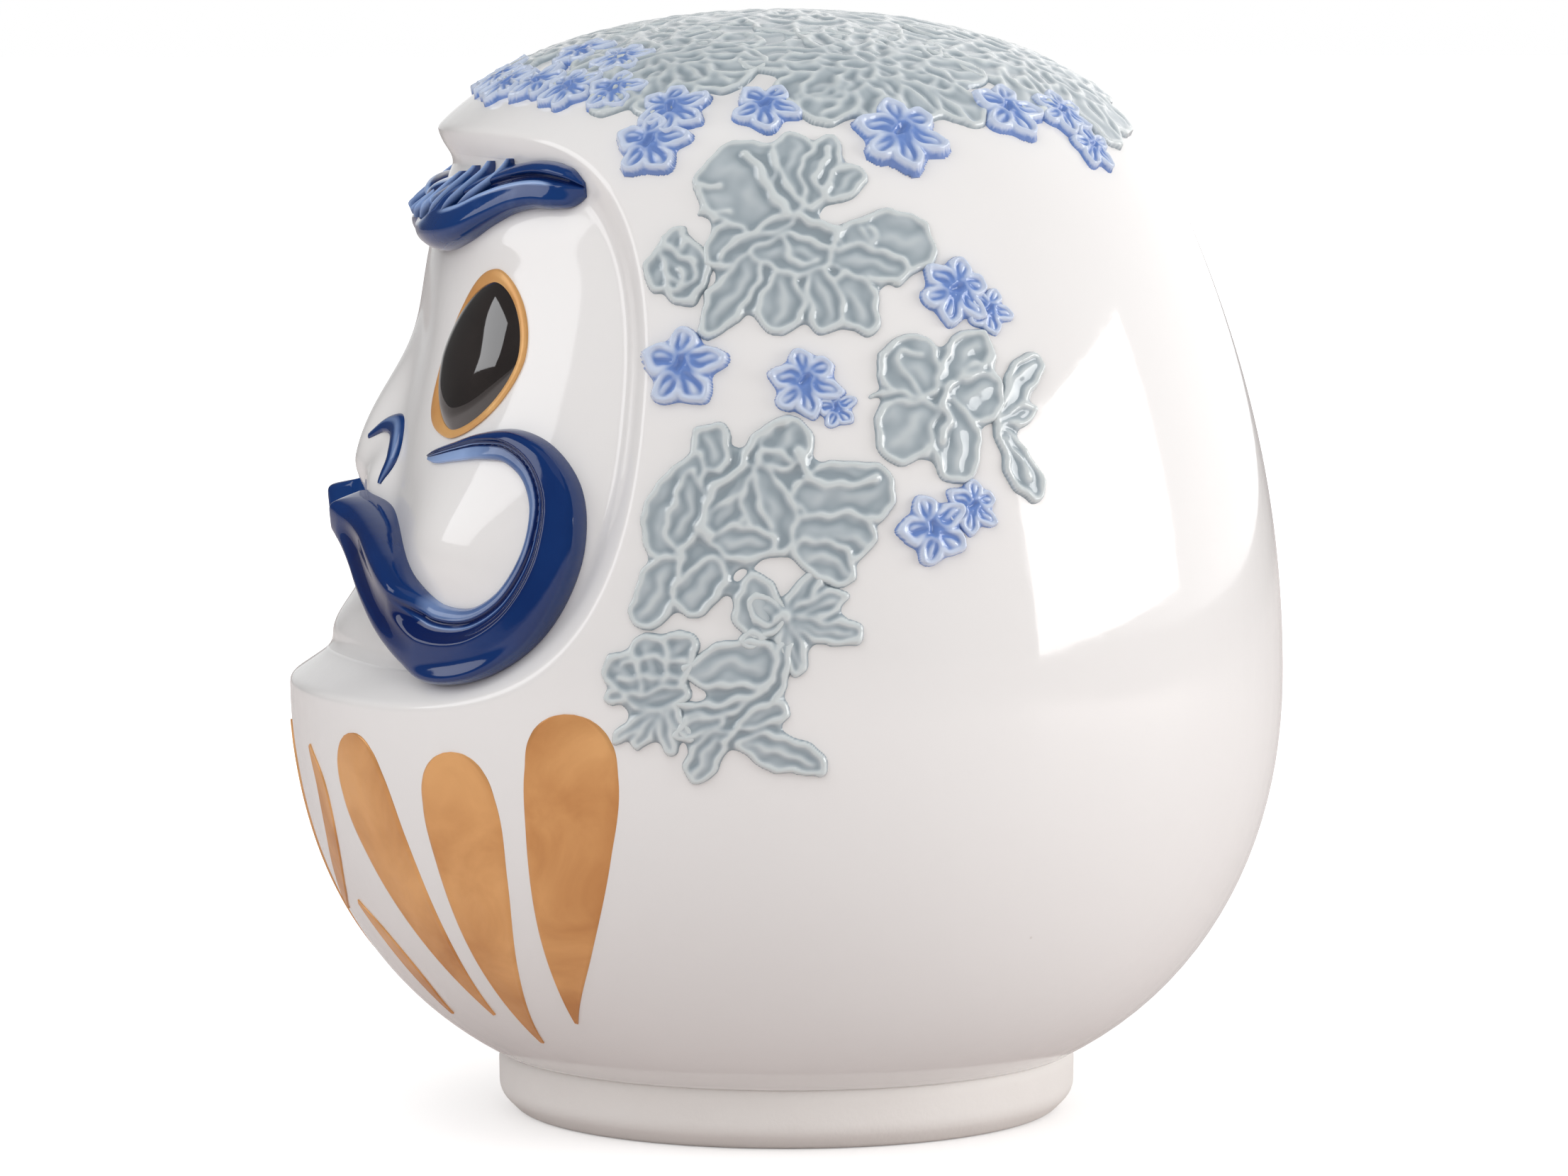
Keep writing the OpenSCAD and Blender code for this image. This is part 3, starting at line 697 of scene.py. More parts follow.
def gilding(name, metallic, dark, bright):
    """Overglaze gold, darker where the brush left little."""
    material, tree, shader = new_material(name, Metallic=metallic)
    fired(tree, shader, 0.5, 150.0, 0.24, 0.16)
    brushed = noise(tree, 55.0, 5.0, Distortion=0.6)
    tree.links.new(graded(tree, brushed, (0.32, dark), (0.68, bright)), shader.inputs["Base Color"])
    return material


gold = gilding("gilding", 0.35, (0.61, 0.265, 0.085), (0.87, 0.46, 0.18))
lid_gold = gilding("lid_gilding", 0.2, (0.62, 0.27, 0.08), (0.88, 0.52, 0.20))
dress_both(eyeball, iron, "black_glaze", "eye")
dress_both(lid, lid_gold, "gilding", "eye_rim")

# ---------------------------------------------------------------------------------------------
# The gilding. Long gold petals and a leaf crest painted over the glaze of the belly, so thin
# that only a soft edge stands up.
# ---------------------------------------------------------------------------------------------
def on_belly(deg, z, lift=0.0):
    return on_body(around(body_r(z), deg, z), lift)


def gilt_section(side, share):
    """Even and flat, with a faint bead where the gold ends."""
    bead = 1 + 0.25 * bell((np.abs(side) - 0.9) / 0.08)
    return np.clip((1 - np.abs(side)) * 9, 0, 1) ** 0.5 * bead, 0 * side


def round_top(deg, z, half, lean):
    """The first rows of a petal that ends in a half round, leaning by degrees for each millimetre."""
    return [(deg + lean * down, z - down, half * math.sqrt(1 - (1 - down / 7) ** 2))
            for down in (0.05, 0.4, 1.2, 2.6, 4.6)]


def gilt(name, path):
    rows = [row + (0.24,) for row in path]
    return strip(name, on_belly, rows, gilt_section, points=31, under=0.4)


PETALS = [
    round_top(27, 74, 7.6, 0.22) + [(29.1, 65, 8.2), (32, 54, 7.6), (35.5, 39, 4.7), (38.7, 24, 0.3)],
    round_top(45.4, 73.4, 8.2, 0.1) + [(46.3, 64, 8.8), (46.6, 52, 8.1), (45.7, 35, 4.9), (44.5, 19.2, 0.3)],
    round_top(61.7, 81.6, 8.4, 0.0) + [(61.7, 71, 9), (60.7, 58, 8.2), (58, 40, 5), (54.7, 24.5, 0.3)]]
for k, path in enumerate(PETALS):
    petal = gilt(f"gold_petals_{k}_left", path)
    dress_both(petal, gold, "gilding", *(["gold_petals"] if k == 0 else []))

middle_leaf = gilt("gold_crest_0_left", [(0, 72, 0.4), (0, 66, 4.3), (0, 56, 6.4), (0, 44, 5), (0, 30, 0.4)])
dress(middle_leaf, gold, "gilding", "gold_crest")
for k, path in enumerate((
        [(15, 70, 0.5), (17.5, 63, 2.6), (17, 54, 3), (13, 45, 2.2), (8, 39, 0.4)],
        [(18, 42, 0.5), (22, 36, 2.2), (24.5, 29, 2.4), (25, 22, 0.4)])):
    dress_both(gilt(f"gold_crest_{k + 1}_left", path), gold, "gilding")

# ---------------------------------------------------------------------------------------------
# Peonies, camellia, leaves and blossoms. Flowers modelled in low relief on the body, petal over
# petal, then filled with celadon or pale blue glaze that pools between the raised edges.
# ---------------------------------------------------------------------------------------------
BARE = -1.4                     # height drawn where nothing lies on the body


def blurred(field, passes):
    for _ in range(passes):
        for axis in (0, 1):
            ahead, behind = np.roll(field, 1, axis), np.roll(field, -1, axis)
            field = 0.25 * ahead + 0.5 * field + 0.25 * behind
    return field


def drawn(petals, ridges, reach, step, soft=2, seed=0.0):
    """Heights of a relief on a square grid: petals laid in turn, each over those before."""
    n = int(round(2 * reach / step)) + 1
    along_side = np.linspace(-reach, reach, n)
    flat_x, flat_y = np.meshgrid(along_side, along_side, indexing="ij")
    sway_x = 0.55 * np.sin(0.62 * flat_y + 0.9) * np.cos(0.31 * flat_x + seed)
    sway_y = 0.55 * np.sin(0.58 * flat_x + seed) * np.cos(0.36 * flat_y + 0.4)
    x = flat_x + sway_x + 0.24 * np.sin(1.5 * flat_y + 0.8 * flat_x + 2 * seed)
    y = flat_y + sway_y + 0.24 * np.sin(1.4 * flat_x - 0.9 * flat_y + seed)
    height = np.full_like(x, BARE)
    for x0, y0, x1, y1, half in petals:
        length = math.hypot(x1 - x0, y1 - y0)
        ux, uy = (x1 - x0) / length, (y1 - y0) / length
        along = (x - x0) * ux + (y - y0) * uy
        across = (y - y0) * ux - (x - x0) * uy
        share = np.clip(along / length, 0, 1)
        wide = half * (0.72 + 0.42 * share)
        far = np.hypot(2 * along / length - 1, across / wide)
        fall = np.hypot((2 * along / length - 1) * 2 / length, across / wide ** 2) / np.maximum(far, 1e-6)
        depth = (1 - far) / np.maximum(fall, 1e-6)
        edge = np.sqrt(np.clip(1 - ((depth - 0.56) / 0.58) ** 2, 0, 1))
        dish = np.clip(depth / 2.2, 0, 1)
        streak = 0.2 * np.cos(across / half * 8 + 1.2 * np.sin(0.6 * along)) * dish
        streak = streak * window(share, 0.1, 0.97, 0.2)
        level = np.maximum(0.15 + 1.25 * edge, 0.62 + 0.25 * dish * (1 - share) + streak)
        height = np.where(depth > 0, level, height)
    for wide, top, points in ridges:
        line = np.array(points, float)
        if len(points) > 2:
            line = smooth([p + (0, 0) for p in points], 14)[:, :2]
        near = np.full_like(x, 2 * reach)
        for (ax, ay), (bx, by) in zip(line[:-1], line[1:]):
            dx, dy = bx - ax, by - ay
            t = np.clip(((x - ax) * dx + (y - ay) * dy) / (dx ** 2 + dy ** 2), 0, 1)
            near = np.minimum(near, np.hypot(x - ax - t * dx, y - ay - t * dy))
        ridge = top * np.sqrt(np.clip(1 - (near / wide) ** 2, 0, 1))
        height = np.maximum(height, np.where(near < wide, ridge, BARE))
    laid = blurred((height > 0).astype(float), int(2.2 / step ** 2))
    bridged = blurred(laid, int(7 / step ** 2))
    filled = (laid > 0.42) | (bridged > 0.53)
    height = np.maximum(height, np.where(filled, 0.42 + 0.12 * (laid - 0.42), BARE))
    height = blurred(height, soft)
    solid = np.maximum(height, 0)
    pool = np.clip(0.5 + 1.7 * (blurred(solid, int(1.6 / step ** 2)) - solid), 0, 1)
    return flat_x, flat_y, height, pool


def sheet_of(name, x, y, height, pool, wrap):
    """A closed skin over the part of a drawn relief that stands clear of the body."""
    n, m = height.shape
    low = height > -0.45
    cell = low[:-1, :-1] | low[1:, :-1] | low[:-1, 1:] | low[1:, 1:]
    cell[[0, -1]] = False
    cell[:, [0, -1]] = False
    number = np.arange(n * m).reshape(n, m)
    quads = np.stack([number[:-1, :-1], number[1:, :-1], number[1:, 1:], number[:-1, 1:]], axis=-1)
    faces = quads[cell]
    walls = []
    for corner, shift in (((0, 1), (0, -1)), ((1, 2), (1, 0)), ((2, 3), (0, 1)), ((3, 0), (-1, 0))):
        beside = np.roll(cell, (-shift[0], -shift[1]), (0, 1))
        rim = quads[cell & ~beside]
        a, b = rim[:, corner[0]], rim[:, corner[1]]
        walls.append(np.stack([a, a + n * m, b + n * m, b], axis=-1))
    faces = np.concatenate([faces, faces[:, ::-1] + n * m] + walls)
    top = wrap(x, y, np.maximum(height, -0.5))
    under = wrap(x, y, np.full_like(height, -0.9))
    used, renumbered = np.unique(faces, return_inverse=True)
    points = np.concatenate([top.reshape(-1, 3), under.reshape(-1, 3)])[used]
    values = np.concatenate([pool.ravel(), pool.ravel()])[used]
    return new_mesh(name, points, [renumbered.reshape(-1, 4)], pool=values)


def beside(deg, z):
    """Lays flat millimetres round a place of the body onto it, x to the doll's left and y up."""
    r = body_r(z)
    place = around(r, deg, z)
    angle = np.degrees(np.arctan2(z - HEART_Z, r))
    out, up = np.interp(angle, outline_angle, outline_out), np.interp(angle, outline_angle, outline_up)
    away = around(1.0, deg, 0.0)
    sideways = around(1.0, deg + 90, 0.0)
    upward = np.array((0, 0, 1.0)) * out - away * up

    def wrap(x, y, lift):
        return on_body(place + x[..., None] * sideways + y[..., None] * upward, lift)
    return wrap


def relief(name, deg, z, petals, ridges, reach, step=0.34):
    return sheet_of(name, *drawn(petals, ridges, reach, step, seed=deg), beside(deg, z))


def glaze_filled(name, *colours):
    """A translucent coloured glaze, pale on raised edges and deeper where it pools."""
    material, tree, shader = new_material(name, Coat_Weight=0.7, Coat_Roughness=0.04)
    fired(tree, shader, 0.3, 70.0, 0.07, 0.08)
    colour = pooled(tree, 90.0, 0.3, *zip((0.3, 0.62, 0.95), colours))
    tree.links.new(colour, shader.inputs["Base Color"])
    return material


celadon = glaze_filled("celadon_glaze", (0.65, 0.70, 0.71), (0.46, 0.52, 0.555), (0.31, 0.37, 0.41))
blue = glaze_filled("pale_blue_glaze", (0.61, 0.69, 0.85), (0.41, 0.51, 0.75), (0.16, 0.27, 0.60))

HIGH_PEONY = relief("high_peony_relief_left", 87.2, 164.3, [
    (0, 3, -16.5, -5, 4.2), (7, -2, 25.5, 0, 6.2), (5, -5, 20, -6.5, 3.8), (0, 0, -14.5, 16, 9.5),
    (-1, 2, 0, 20, 4.2), (2, 3, 6.5, 20, 3.6), (5, 5, 11.5, 12.5, 3), (8, -7, 12.5, -18.5, 4.4),
    (4, -7, 5.8, -18.5, 3.8), (-1.5, -6, -3.4, -19.5, 4.2), (-6, -4, -16, -18.5, 4.2),
    (-8, -4, 6.5, -5.5, 4)],
    [(1.3, 1.9, [(-8, 14.5), (-6, 10), (-3.5, 6), (-1, 2.5)]),
     (0.8, 1.5, [(-4, 14.5), (-0.5, 6.5), (1.3, 3.7), (0, 2)]),
     (0.8, 1.6, [(-13, -5), (-8.4, -0.6), (-6, 0.9), (5, 1), (7.4, -0.3), (6, -3.5)]),
     (0.7, 1.4, [(-17.5, 9), (-12.8, 9)]), (0.7, 1.4, [(-17, 4.2), (-11, 3.6)]),
     (0.7, 1.4, [(-2, -2.5), (-1, -5.5), (1.2, -6.5), (3.4, -6)]),
     (0.8, 1.6, [(5.6, 16), (5.2, 12), (3.5, 8.6), (4.2, 6), (6, 8)]),
     (0.7, 1.3, [(11, 0.5), (13.2, -1.8), (14, -0.4), (12, 1)])], 27)
LOW_PEONY = relief("low_peony_relief_left", 82, 117, [
    (-6, 6, -8, 15.5, 4), (2, 7, 9, 15.5, 4.4), (-9, 10, -17, -8, 5.5), (-9.5, 7, -12.5, -7, 3.6),
    (-13, -7, -19.5, -20.5, 4.4), (-4, -8, -12.5, -17.5, 4), (0, -11, 3, -22, 5), (6, 2, 25.5, 4.5, 6.2),
    (6, -3, 22, -4.5, 4.6), (7, -6, 18.5, -11, 4.2), (0, 8, -7.5, -5.5, 4.4), (0.5, 8, 5.5, -7.5, 4.8),
    (-7.5, -5, 5, -6, 3.4)],
    [(0.95, 1.8, [(6, 15.5), (1.8, 14.3), (0, 10.7), (-2.1, 7.5), (-5.3, 5.1), (-7.5, 1.6), (-8.3, -2.1),
                  (-6.5, -4)]),
     (0.85, 1.6, [(7.3, 11), (9.7, 7.6), (10.5, 5.4), (13.7, 4.5), (17, 5.1), (21.5, 6)]),
     (0.7, 1.4, [(-0.3, 6.5), (-2, 2.4), (-7, -0.7), (-7.9, -3.9)]),
     (0.6, 1.4, [(-0.3, 7), (1.5, 2.4), (3.4, -2.4)]), (0.6, 1.1, [(9.3, -4.6), (14.3, -4.2), (19.9, -5.4)]),
     (0.6, 1.1, [(9.6, -8.5), (13.5, -8), (17.2, -10.6)]),
     (0.7, 1.5, [(1.1, 7.9), (1.5, 9.7), (3.7, 10.2), (6.9, 9.3)]),
     (0.7, 1.4, [(-11.5, -6), (-12.5, -9.5), (-12.6, -14)])], 29)
CAMELLIA = relief("camellia_relief_left", 104.8, 134.4, [
    (0, 2, 9.5, 13, 4.6), (1, 1, 11.5, 3, 5.6), (-1.5, 2, -9, 11.5, 6.4), (-1.5, 0, -12, -7.5, 6),
    (1, 1, 2, -13.5, 5.2)],
    [(0.9, 1.9, [(1.4, 3.8), (-0.7, 0), (0.5, -2.9), (-1.2, -6)]),
     (0.6, 1.3, [(-12.4, 2.1), (-8.3, 2.6), (-4.2, 1.7)]),
     (0.6, 1.3, [(-4.2, 1.7), (-7.5, 9.5), (-3.1, 8.4)]),
     (0.7, 1.4, [(10.8, 5), (8, 5.2), (3.4, 4.4), (8.5, 7.5), (9.8, 11)])], 17)
SPRIG = relief("leaf_relief_left", 114, 130, [
    (-4, 1, 6, 13.5, 3), (-4, 1, 4.5, 3.6, 1.8), (-4, 0.5, 3, -13, 3.2)],
    [(0.5, 1.3, [(-2.5, 4.5), (0.6, 8.5), (4, 11.5)]), (0.5, 1.3, [(-3, -2), (-0.5, -5.5), (1.5, -9.5)])], 15)
HALF_FLOWER = relief("chrysanthemum_relief_left", 70.3, 85.4, [
    (3, -2, -5.5, -8, 1.7), (3, -2, -1, -10, 1.6), (4, -2, 4.5, -10.5, 1.6), (5, -2, 9, -8, 1.6),
    (1, 1, -7, -1.5, 1.6), (2, 0, 8, 11, 4.2), (1, 0, 1.5, 10.5, 4.4), (0, 0, -6.5, 7, 3.6),
    (-3.5, -1, 8.5, 0, 2.4)],
    [(0.55, 1.4, [(-4, 5.5), (1, 6.2), (8, 6.4)]), (0.55, 1.4, [(-4, 2.6), (1, 3.2), (8.2, 3.2)])], 13)
STEMS = relief("leaf_band_relief_left", 79.5, 90.5, [
    (-8, -0.8, 9.5, 1.5, 4.6), (1, -10, -7, -20, 3), (1.5, -10, 11, -7, 2.6), (1.5, -12.5, 17.5, -17.5, 3.6),
    (0, -8.5, -9.5, -12.5, 1.8)],
    [(0.75, 1.5, [(11, 4.5), (10.3, -1.4), (7.6, -5.9), (2.2, -9.5), (0, -12.5)]),
     (0.7, 1.4, [(9.3, 4.5), (8.9, -0.4), (5.7, -3.5), (-0.5, -6.3), (-9.7, -6.5)]),
     (0.6, 1.3, [(-9.7, -12.1), (-7.3, -8.9), (-2.7, -8.5), (1.3, -7.2), (6.7, -3.6)]),
     (0.5, 1.2, [(3, -13), (9, -15), (15, -17)]), (0.5, 1.2, [(-1, -12), (-3.5, -15), (-6, -18.5)])], 22)
DAISY = relief("daisy_relief_left", 85.5, 98.5, [
    (0, 0, 6, 8.5, 2.2), (0, 0, 11.5, 4.5, 2.3), (0, 0, 14.5, -3.2, 2.5), (0, 0, 3.5, -9.5, 2.3),
    (0, 0, -6, 3.5, 2.8), (-2, -2, -7.5, -4, 2)],
    [(0.7, 1.8, [(-1.4, 0.5), (0, 1), (0.8, -0.4)]), (0.45, 1.2, [(2, 0.6), (6, 2.2), (9.5, 3.6)]),
     (0.45, 1.2, [(2, -0.6), (7, -1.6), (12, -2.8)]), (0.45, 1.2, [(0.8, -2), (2.2, -5.5), (3.1, -8.4)])], 16)
BUD = relief("bud_relief_left", 71.3, 157.4, [
    (1, 8, -4, -4, 3.2), (3, 6, 2, -6.5, 4.2), (-3, 4, 4, -3, 2.4)],
    [(0.5, 1.5, [(-3.2, 5.5), (0.3, 2.7), (3.2, 0.9)]),
     (0.5, 1.5, [(-1.1, -1), (0, -3.7), (2.3, -2.8), (0.2, 0.2)])], 11)
for thing, *nodes in ((HIGH_PEONY, "high_peony"), (LOW_PEONY, "low_peony"), (CAMELLIA, "camellia"),
                      (HALF_FLOWER, "chrysanthemum"), (DAISY, "daisy"), (SPRIG, "leaves"), (STEMS,), (BUD,)):
    dress_both(thing, celadon, "celadon_glaze", *nodes)

# ---------------------------------------------------------------------------------------------
# The crown. Peonies modelled petal over petal until they cover the top of the head, one in the
# middle and a ring of smaller ones round it, on a bed of leaves that fills what they leave open.
# ---------------------------------------------------------------------------------------------
def peony(radius, seed):
    """Rows for one open peony: four rounds of petals, and folds in the larger ones."""
    pick = np.random.default_rng(seed)
    petals, folds = [], []
    rounds = ((9, 0.1, 1.0, 0.27), (8, 0.05, 0.74, 0.22), (7, 0.0, 0.5, 0.16), (5, 0.0, 0.28, 0.1))
    for count, near, far, half in rounds:
        first = pick.uniform(0, 360)
        for k in range(count):
            angle = math.radians(first + 360 * k / count + pick.uniform(-12, 12))
            tip = radius * far * pick.uniform(0.9, 1.06)
            c, s = math.cos(angle), math.sin(angle)
            wide = radius * half * pick.uniform(0.85, 1.1)
            petals.append((radius * near * c, radius * near * s, tip * c, tip * s, wide))
            if far > 0.5:
                turn = angle + pick.uniform(-0.16, 0.16)
                mid = 0.5 * (tip + radius * 0.3)
                folds.append((0.6, 1.35, [(tip * 0.9 * math.cos(turn), tip * 0.9 * math.sin(turn)),
                                          (mid * math.cos(turn + 0.08), mid * math.sin(turn + 0.08)),
                                          (radius * 0.34 * c, radius * 0.34 * s)]))
    return petals, folds


CROWN = [("middle", 0.0, DOLL_H, 36, 3)]
CROWN += [(f"ring_{k}", deg, z, radius, 11 + k) for k, (deg, z, radius) in enumerate((
    (0, 194, 20), (56, 192.5, 21), (104, 191, 23), (150, 191, 23), (205, 191, 23), (256, 191, 23),
    (304, 192.5, 21)))]
for k, (label, deg, z, radius, seed) in enumerate(CROWN):
    petals, folds = peony(radius, seed)
    thing = relief(f"crown_peony_{label}", deg, z, petals, folds, radius * 1.15, step=0.42)
    dress(thing, celadon, "celadon_glaze", *(["crown_flowers"] if k == 0 else []))

BED_R, BED_POINTS = 47.0, 181
across = np.linspace(-BED_R - 2, BED_R + 2, BED_POINTS)
x, y = np.meshgrid(across, across, indexing="ij")
veins = np.abs(np.sin(0.42 * x + 1.3 * np.sin(0.21 * y)) * np.sin(0.38 * y + 1.1 * np.sin(0.19 * x)))
height = blurred(np.where(np.hypot(x, y) < BED_R, 0.35 + 0.85 * bell(veins / 0.13), BARE), 2)
bed = sheet_of("crown_leaf_bed", x, y, height, np.clip(0.75 - 0.5 * height, 0, 1), beside(0.0, DOLL_H))
dress(bed, celadon, "celadon_glaze")

# ---------------------------------------------------------------------------------------------
# The small blossoms. Five or six round petals pressed from a mould and scattered between the
# larger flowers, singly and in pairs, under a blue glaze that stays strongest in the middle.
# ---------------------------------------------------------------------------------------------
BLOSSOM_R = 6.5


def moulded(name, count, half):
    petals, folds = [], []
    for k in range(count):
        angle = 2 * math.pi * k / count
        c, s = math.cos(angle), math.sin(angle)
        petals.append((0.6 * c, 0.6 * s, BLOSSOM_R * c, BLOSSOM_R * s, half))
        folds.append((0.4, 1.25, [(1.4 * c, 1.4 * s), (4.6 * c, 4.6 * s)]))
    x, y, height, pool = drawn(petals, folds, BLOSSOM_R * 1.2, 0.26)
    pool = np.clip(pool + 0.8 * bell(np.hypot(x, y) / 2.6) - 0.1, 0, 1)
    return sheet_of(name, x, y, height * 1.15, pool, lambda x, y, lift: np.stack([x, y, lift], axis=-1))


moulds = [moulded("blossom_of_five", 5, 2.5), moulded("blossom_of_six", 6, 2.1)]
scatter = bpy.data.node_groups.new("scatter_blossoms", "GeometryNodeTree")
scatter.interface.new_socket("Places", in_out="INPUT", socket_type="NodeSocketGeometry")
for label in ("Five petals", "Six petals"):
    scatter.interface.new_socket(label, in_out="INPUT", socket_type="NodeSocketObject")
scatter_in = scatter.nodes.new("NodeGroupInput")
kinds = add(scatter, "GeometryNodeJoinGeometry")
for label in ("Six petals", "Five petals"):
    source = add(scatter, "GeometryNodeObjectInfo", {
        "Object": scatter_in.outputs[label], "As Instance": True})
    scatter.links.new(source.outputs["Geometry"], kinds.inputs[0])
values = {}
for label, kind in (("aim", "FLOAT_VECTOR"), ("turn", "FLOAT"), ("size", "FLOAT"), ("kind", "INT")):
    named = add(scatter, "GeometryNodeInputNamedAttribute", {"Name": label}, data_type=kind)
    values[label] = named.outputs[0]
upright = add(scatter, "FunctionNodeAlignRotationToVector", {"Vector": values["aim"]}, axis="Z")
spin = add(scatter, "CombineXYZ", {"Z": values["turn"]})
spun = add(scatter, "FunctionNodeRotateRotation", {
    "Rotation": upright.outputs[0], "Rotate By": spin.outputs[0]}, rotation_space="LOCAL")
placed = add(scatter, "GeometryNodeInstanceOnPoints", {
    "Points": scatter_in.outputs["Places"], "Instance": kinds.outputs[0], "Pick Instance": True,
    "Instance Index": values["kind"], "Rotation": spun.outputs[0], "Scale": values["size"]})


def scattered(name, rows):
    """One piece of blossoms, each row being its degrees, height, radius, kind and turn."""
    deg, z, size, kind, turn = np.array(rows, float).T
    flat = around(body_r(z), deg, z)
    mesh = bpy.data.meshes.new(name)
    mesh.vertices.add(len(rows))
    mesh.vertices.foreach_set("co", (on_body(flat, 0.05 + 0 * z) * MM).astype(np.float32).ravel())
    aim = on_body(flat, 1.0 + 0 * z) - on_body(flat, 0.0 * z)
    for label, data, how in (("aim", aim, "FLOAT_VECTOR"), ("turn", np.radians(turn), "FLOAT"),
                             ("size", size / BLOSSOM_R, "FLOAT"), ("kind", kind.astype(np.int32), "INT")):
        layer = mesh.attributes.new(label, how, "POINT")
        key = "vector" if how == "FLOAT_VECTOR" else "value"
        layer.data.foreach_set(key, np.ascontiguousarray(data).ravel())
    tree = scatter.copy()
    sockets = tree.interface.items_tree
    return made_by(tree, tree.nodes[placed.name].outputs[0], linked(name, mesh), blue,
                   [(sockets["Five petals"], moulds[0]), (sockets["Six petals"], moulds[1])])


SIDE = [(73.3, 141, 7.4, 0, 20), (88.2, 138.5, 6.4, 1, 10), (91.8, 134.2, 3.6, 0, 50),
        (108, 153.6, 6.6, 1, 0), (112.3, 150.2, 4.4, 0, 30), (102.5, 113.6, 6.4, 0, 70),
        (107.2, 117.2, 5, 1, 10)]
EDGE = [(64.8, 178.3, 6.8, 0, 15), (66.5, 184, 6.6, 1, 40), (82.4, 184.6, 6.2, 0, 0), (104, 180, 8.2, 1, 20),
        (126.2, 183.6, 7, 0, 50), (139, 183, 6, 1, 30), (140.5, 177.2, 5, 0, 10), (53, 187, 6, 0, 5),
        (42, 187.2, 6.2, 1, 25), (31, 188, 6, 0, 60), (20, 187.6, 6.2, 1, 0), (46, 192.2, 6, 1, 15),
        (28, 193.2, 6.2, 0, 0), (9, 188.6, 6, 1, 45)]
dress_both(scattered("side_blossoms_left", SIDE), blue, "blue_glaze", "blossoms")
edge = scattered("crown_edge_blossoms_left", EDGE)
dress(edge, blue, "blue_glaze", "crown_blossoms")
dress(mirrored(edge), blue, "blue_glaze")
for mould in moulds:
    bpy.data.objects.remove(mould)

# ---------------------------------------------------------------------------------------------
# What it is seen with: a pale floor that glows for the camera as painted light, a bright room, two
# windows and an overhead lamp that show in the glaze, two large soft fills that do not, and the camera.
# ---------------------------------------------------------------------------------------------
scene = bpy.context.scene
pale, tree, shader = new_material("pale_floor", Roughness=0.6, Emission_Color=(1, 1, 1, 1))
paper = between(tree, noise(tree, 30.0), (0.90, 0.90, 0.90), (0.92, 0.92, 0.92))
# The floor is paper white to the camera, and a dimmer, warmer colour to every other ray, which sets the light
# it throws back onto the doll.
straight = add(tree, "LightPath")
dim = between(tree, straight.outputs["Is Camera Ray"], (0.69, 0.63, 0.615), paper)
tree.links.new(dim, shader.inputs["Base Color"])
# Painted light: the floor glows for the camera, least next to the doll so that its shadow shows and most
# further out, where it meets the white room.
place = add(tree, "TexCoord")
away = add(tree, "VectorMath", {0: place.outputs["Object"]}, operation="LENGTH")
floor_glow_by_distance = add(tree, "MapRange", {"Value": away.outputs["Value"], "From Min": 0.05, "From Max": 0.3,
                                    "To Min": 0.34, "To Max": 0.8})
floor_glow_for_camera = add(tree, "Math", {0: straight.outputs["Is Camera Ray"], 1: floor_glow_by_distance.outputs[0]},
             operation="MULTIPLY")
tree.links.new(floor_glow_for_camera.outputs[0], shader.inputs["Emission Strength"])
mesh = bpy.data.meshes.new("floor")
mesh.from_pydata([(-9, -9, 0), (9, -9, 0), (9, 9, 0), (-9, 9, 0)], [], [(0, 1, 2, 3)])
floor = linked("floor", mesh)
floor.data.materials.append(pale)

# The room is white where the camera looks, soft where it lights, and darker in reflections but
# for the wall behind the doll
world = bpy.data.worlds.new("room")
scene.world = world
world.use_nodes = True
tree = world.node_tree
seen = add(tree, "LightPath")
way = add(tree, "TexCoord")
towards_wall = add(tree, "VectorMath", {0: way.outputs["Generated"], 1: (-0.72, 0.69, 0.0)},
                   operation="DOT_PRODUCT")
wall = add(tree, "MapRange", {"Value": towards_wall.outputs["Value"], "From Min": 0.35, "From Max": 0.95,
                              "To Min": 0.08, "To Max": 1.4})
glossy = add(tree, "Mix", {"Factor": seen.outputs["Is Glossy Ray"], 2: 0.51, 3: wall.outputs[0]})
power = add(tree, "Mix", {"Factor": seen.outputs["Is Camera Ray"], 2: glossy.outputs[0], 3: 1.0})
backdrop = tree.nodes["Background"]
backdrop.inputs["Color"].default_value = (1, 1, 1, 1)
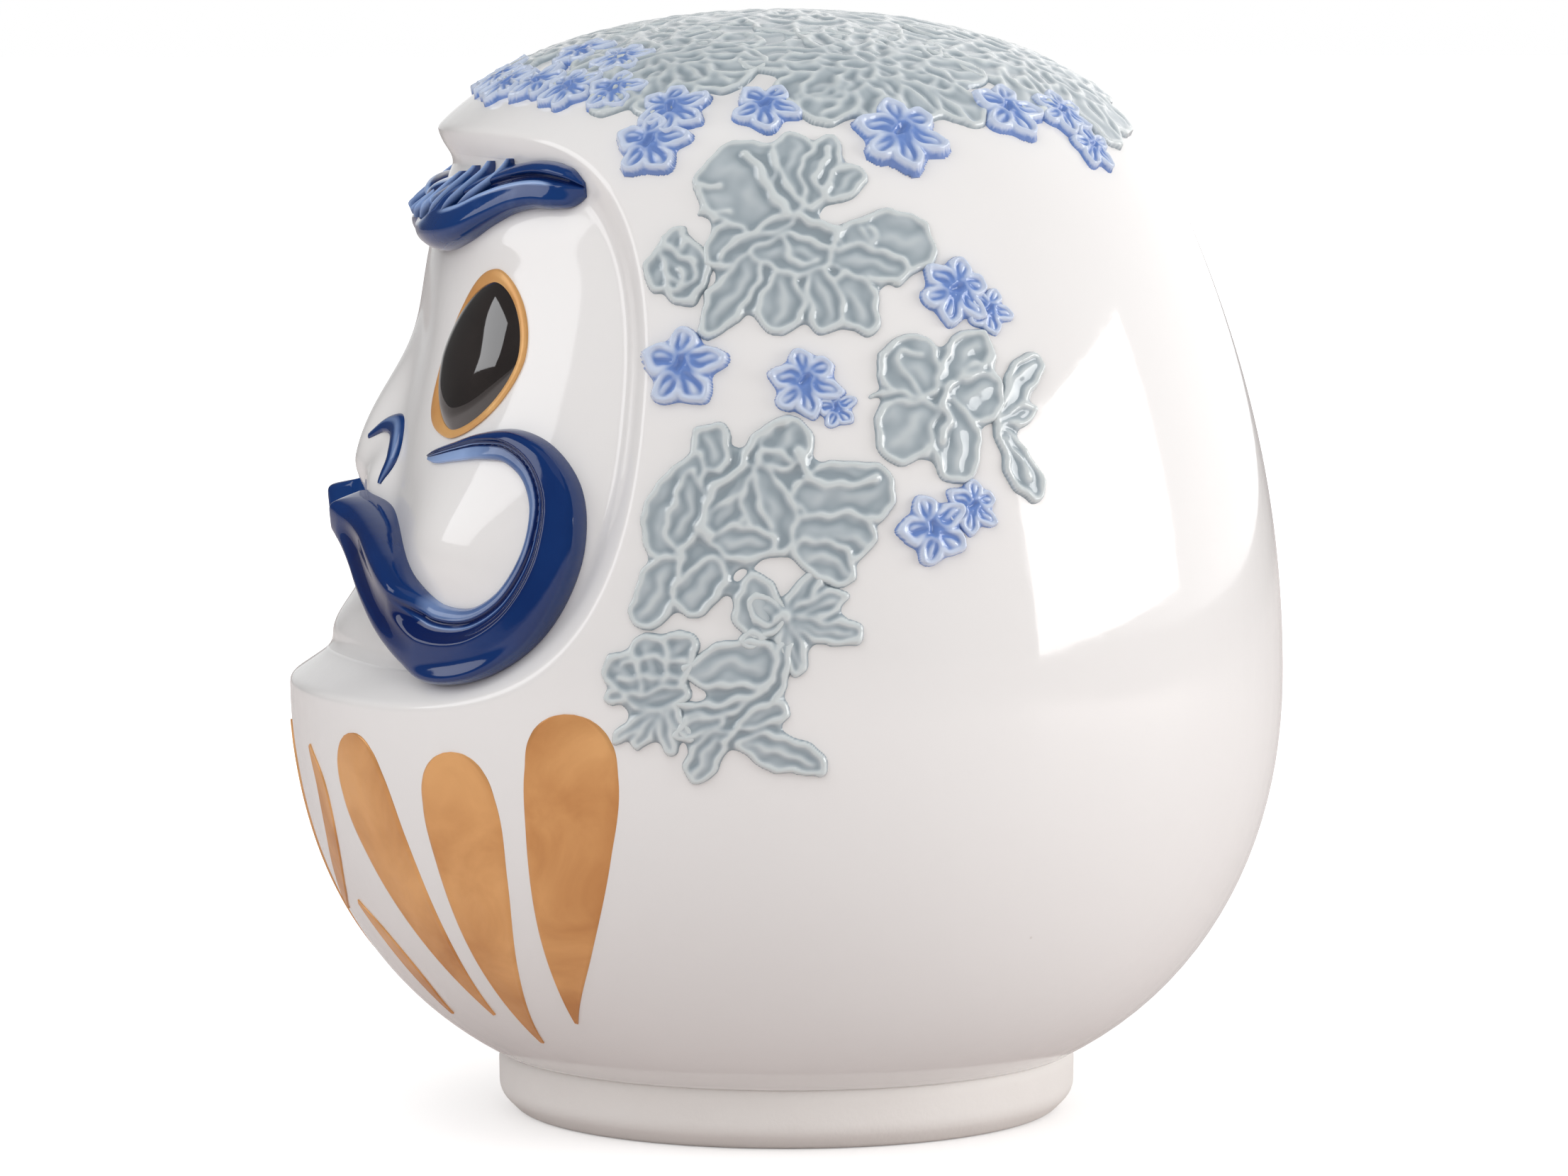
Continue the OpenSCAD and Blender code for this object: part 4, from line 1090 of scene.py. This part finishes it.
tree.links.new(power.outputs[0], backdrop.inputs["Strength"])

AZIMUTH, ELEVATION, DISTANCE = math.radians(86), math.radians(5.5), 1.3
target = np.array((0, -0.00045, 0.0954))
eye = np.array((math.sin(AZIMUTH) * math.cos(ELEVATION), -math.cos(AZIMUTH) * math.cos(ELEVATION),
                math.sin(ELEVATION)))


def looking(thing, place, at, roll=0.0):
    """Stands a lamp or camera at a place, facing a point."""
    thing.location = place
    facing = (Vector(at) - Vector(place)).to_track_quat("-Z", "Y")
    thing.rotation_euler = (facing @ Quaternion((0, 0, 1), math.radians(roll))).to_euler()


def softbox(name, azimuth, elevation, distance, wide, high, glow, colour, roll=0.0, mirrored_in_glaze=True):
    """A rectangular lamp at a compass place round the doll, as bright to look at as its glow."""
    a, e = math.radians(azimuth), math.radians(elevation)
    place = (distance * math.sin(a) * math.cos(e), -distance * math.cos(a) * math.cos(e),
             0.1 + distance * math.sin(e))
    light = bpy.data.lights.new(name, "AREA")
    light.shape = "RECTANGLE"
    light.size, light.size_y = wide, high
    light.energy = glow * math.pi * wide * high
    light.color = colour
    holder = linked(name, light)
    holder.visible_glossy = mirrored_in_glaze
    looking(holder, place, (0, 0, 0.1), roll)


softbox("back_window", 163, 11.5, 1.0, 0.78, 0.4, 4.3, (1.0, 0.99, 0.98), roll=4)
softbox("front_window", 2, 26, 1.1, 0.52, 0.52, 1.8, (0.97, 0.98, 1.0))
softbox("side_fill", 66, 36, 1.3, 1.4, 1.4, 1.1, (1.0, 1.0, 1.0), mirrored_in_glaze=False)
softbox("far_fill", 262, 36, 1.3, 1.4, 1.4, 0.8, (1.0, 1.0, 1.0), mirrored_in_glaze=False)
softbox("overhead", 80, 76, 1.2, 0.9, 0.9, 0.25, (1.0, 1.0, 1.0))

camera = bpy.data.cameras.new("camera")
camera.lens = 163
camera.sensor_width = 36
holder = linked("camera", camera)
looking(holder, tuple(target + eye * DISTANCE), tuple(target))
scene.camera = holder
scene.view_settings.view_transform = "Standard"
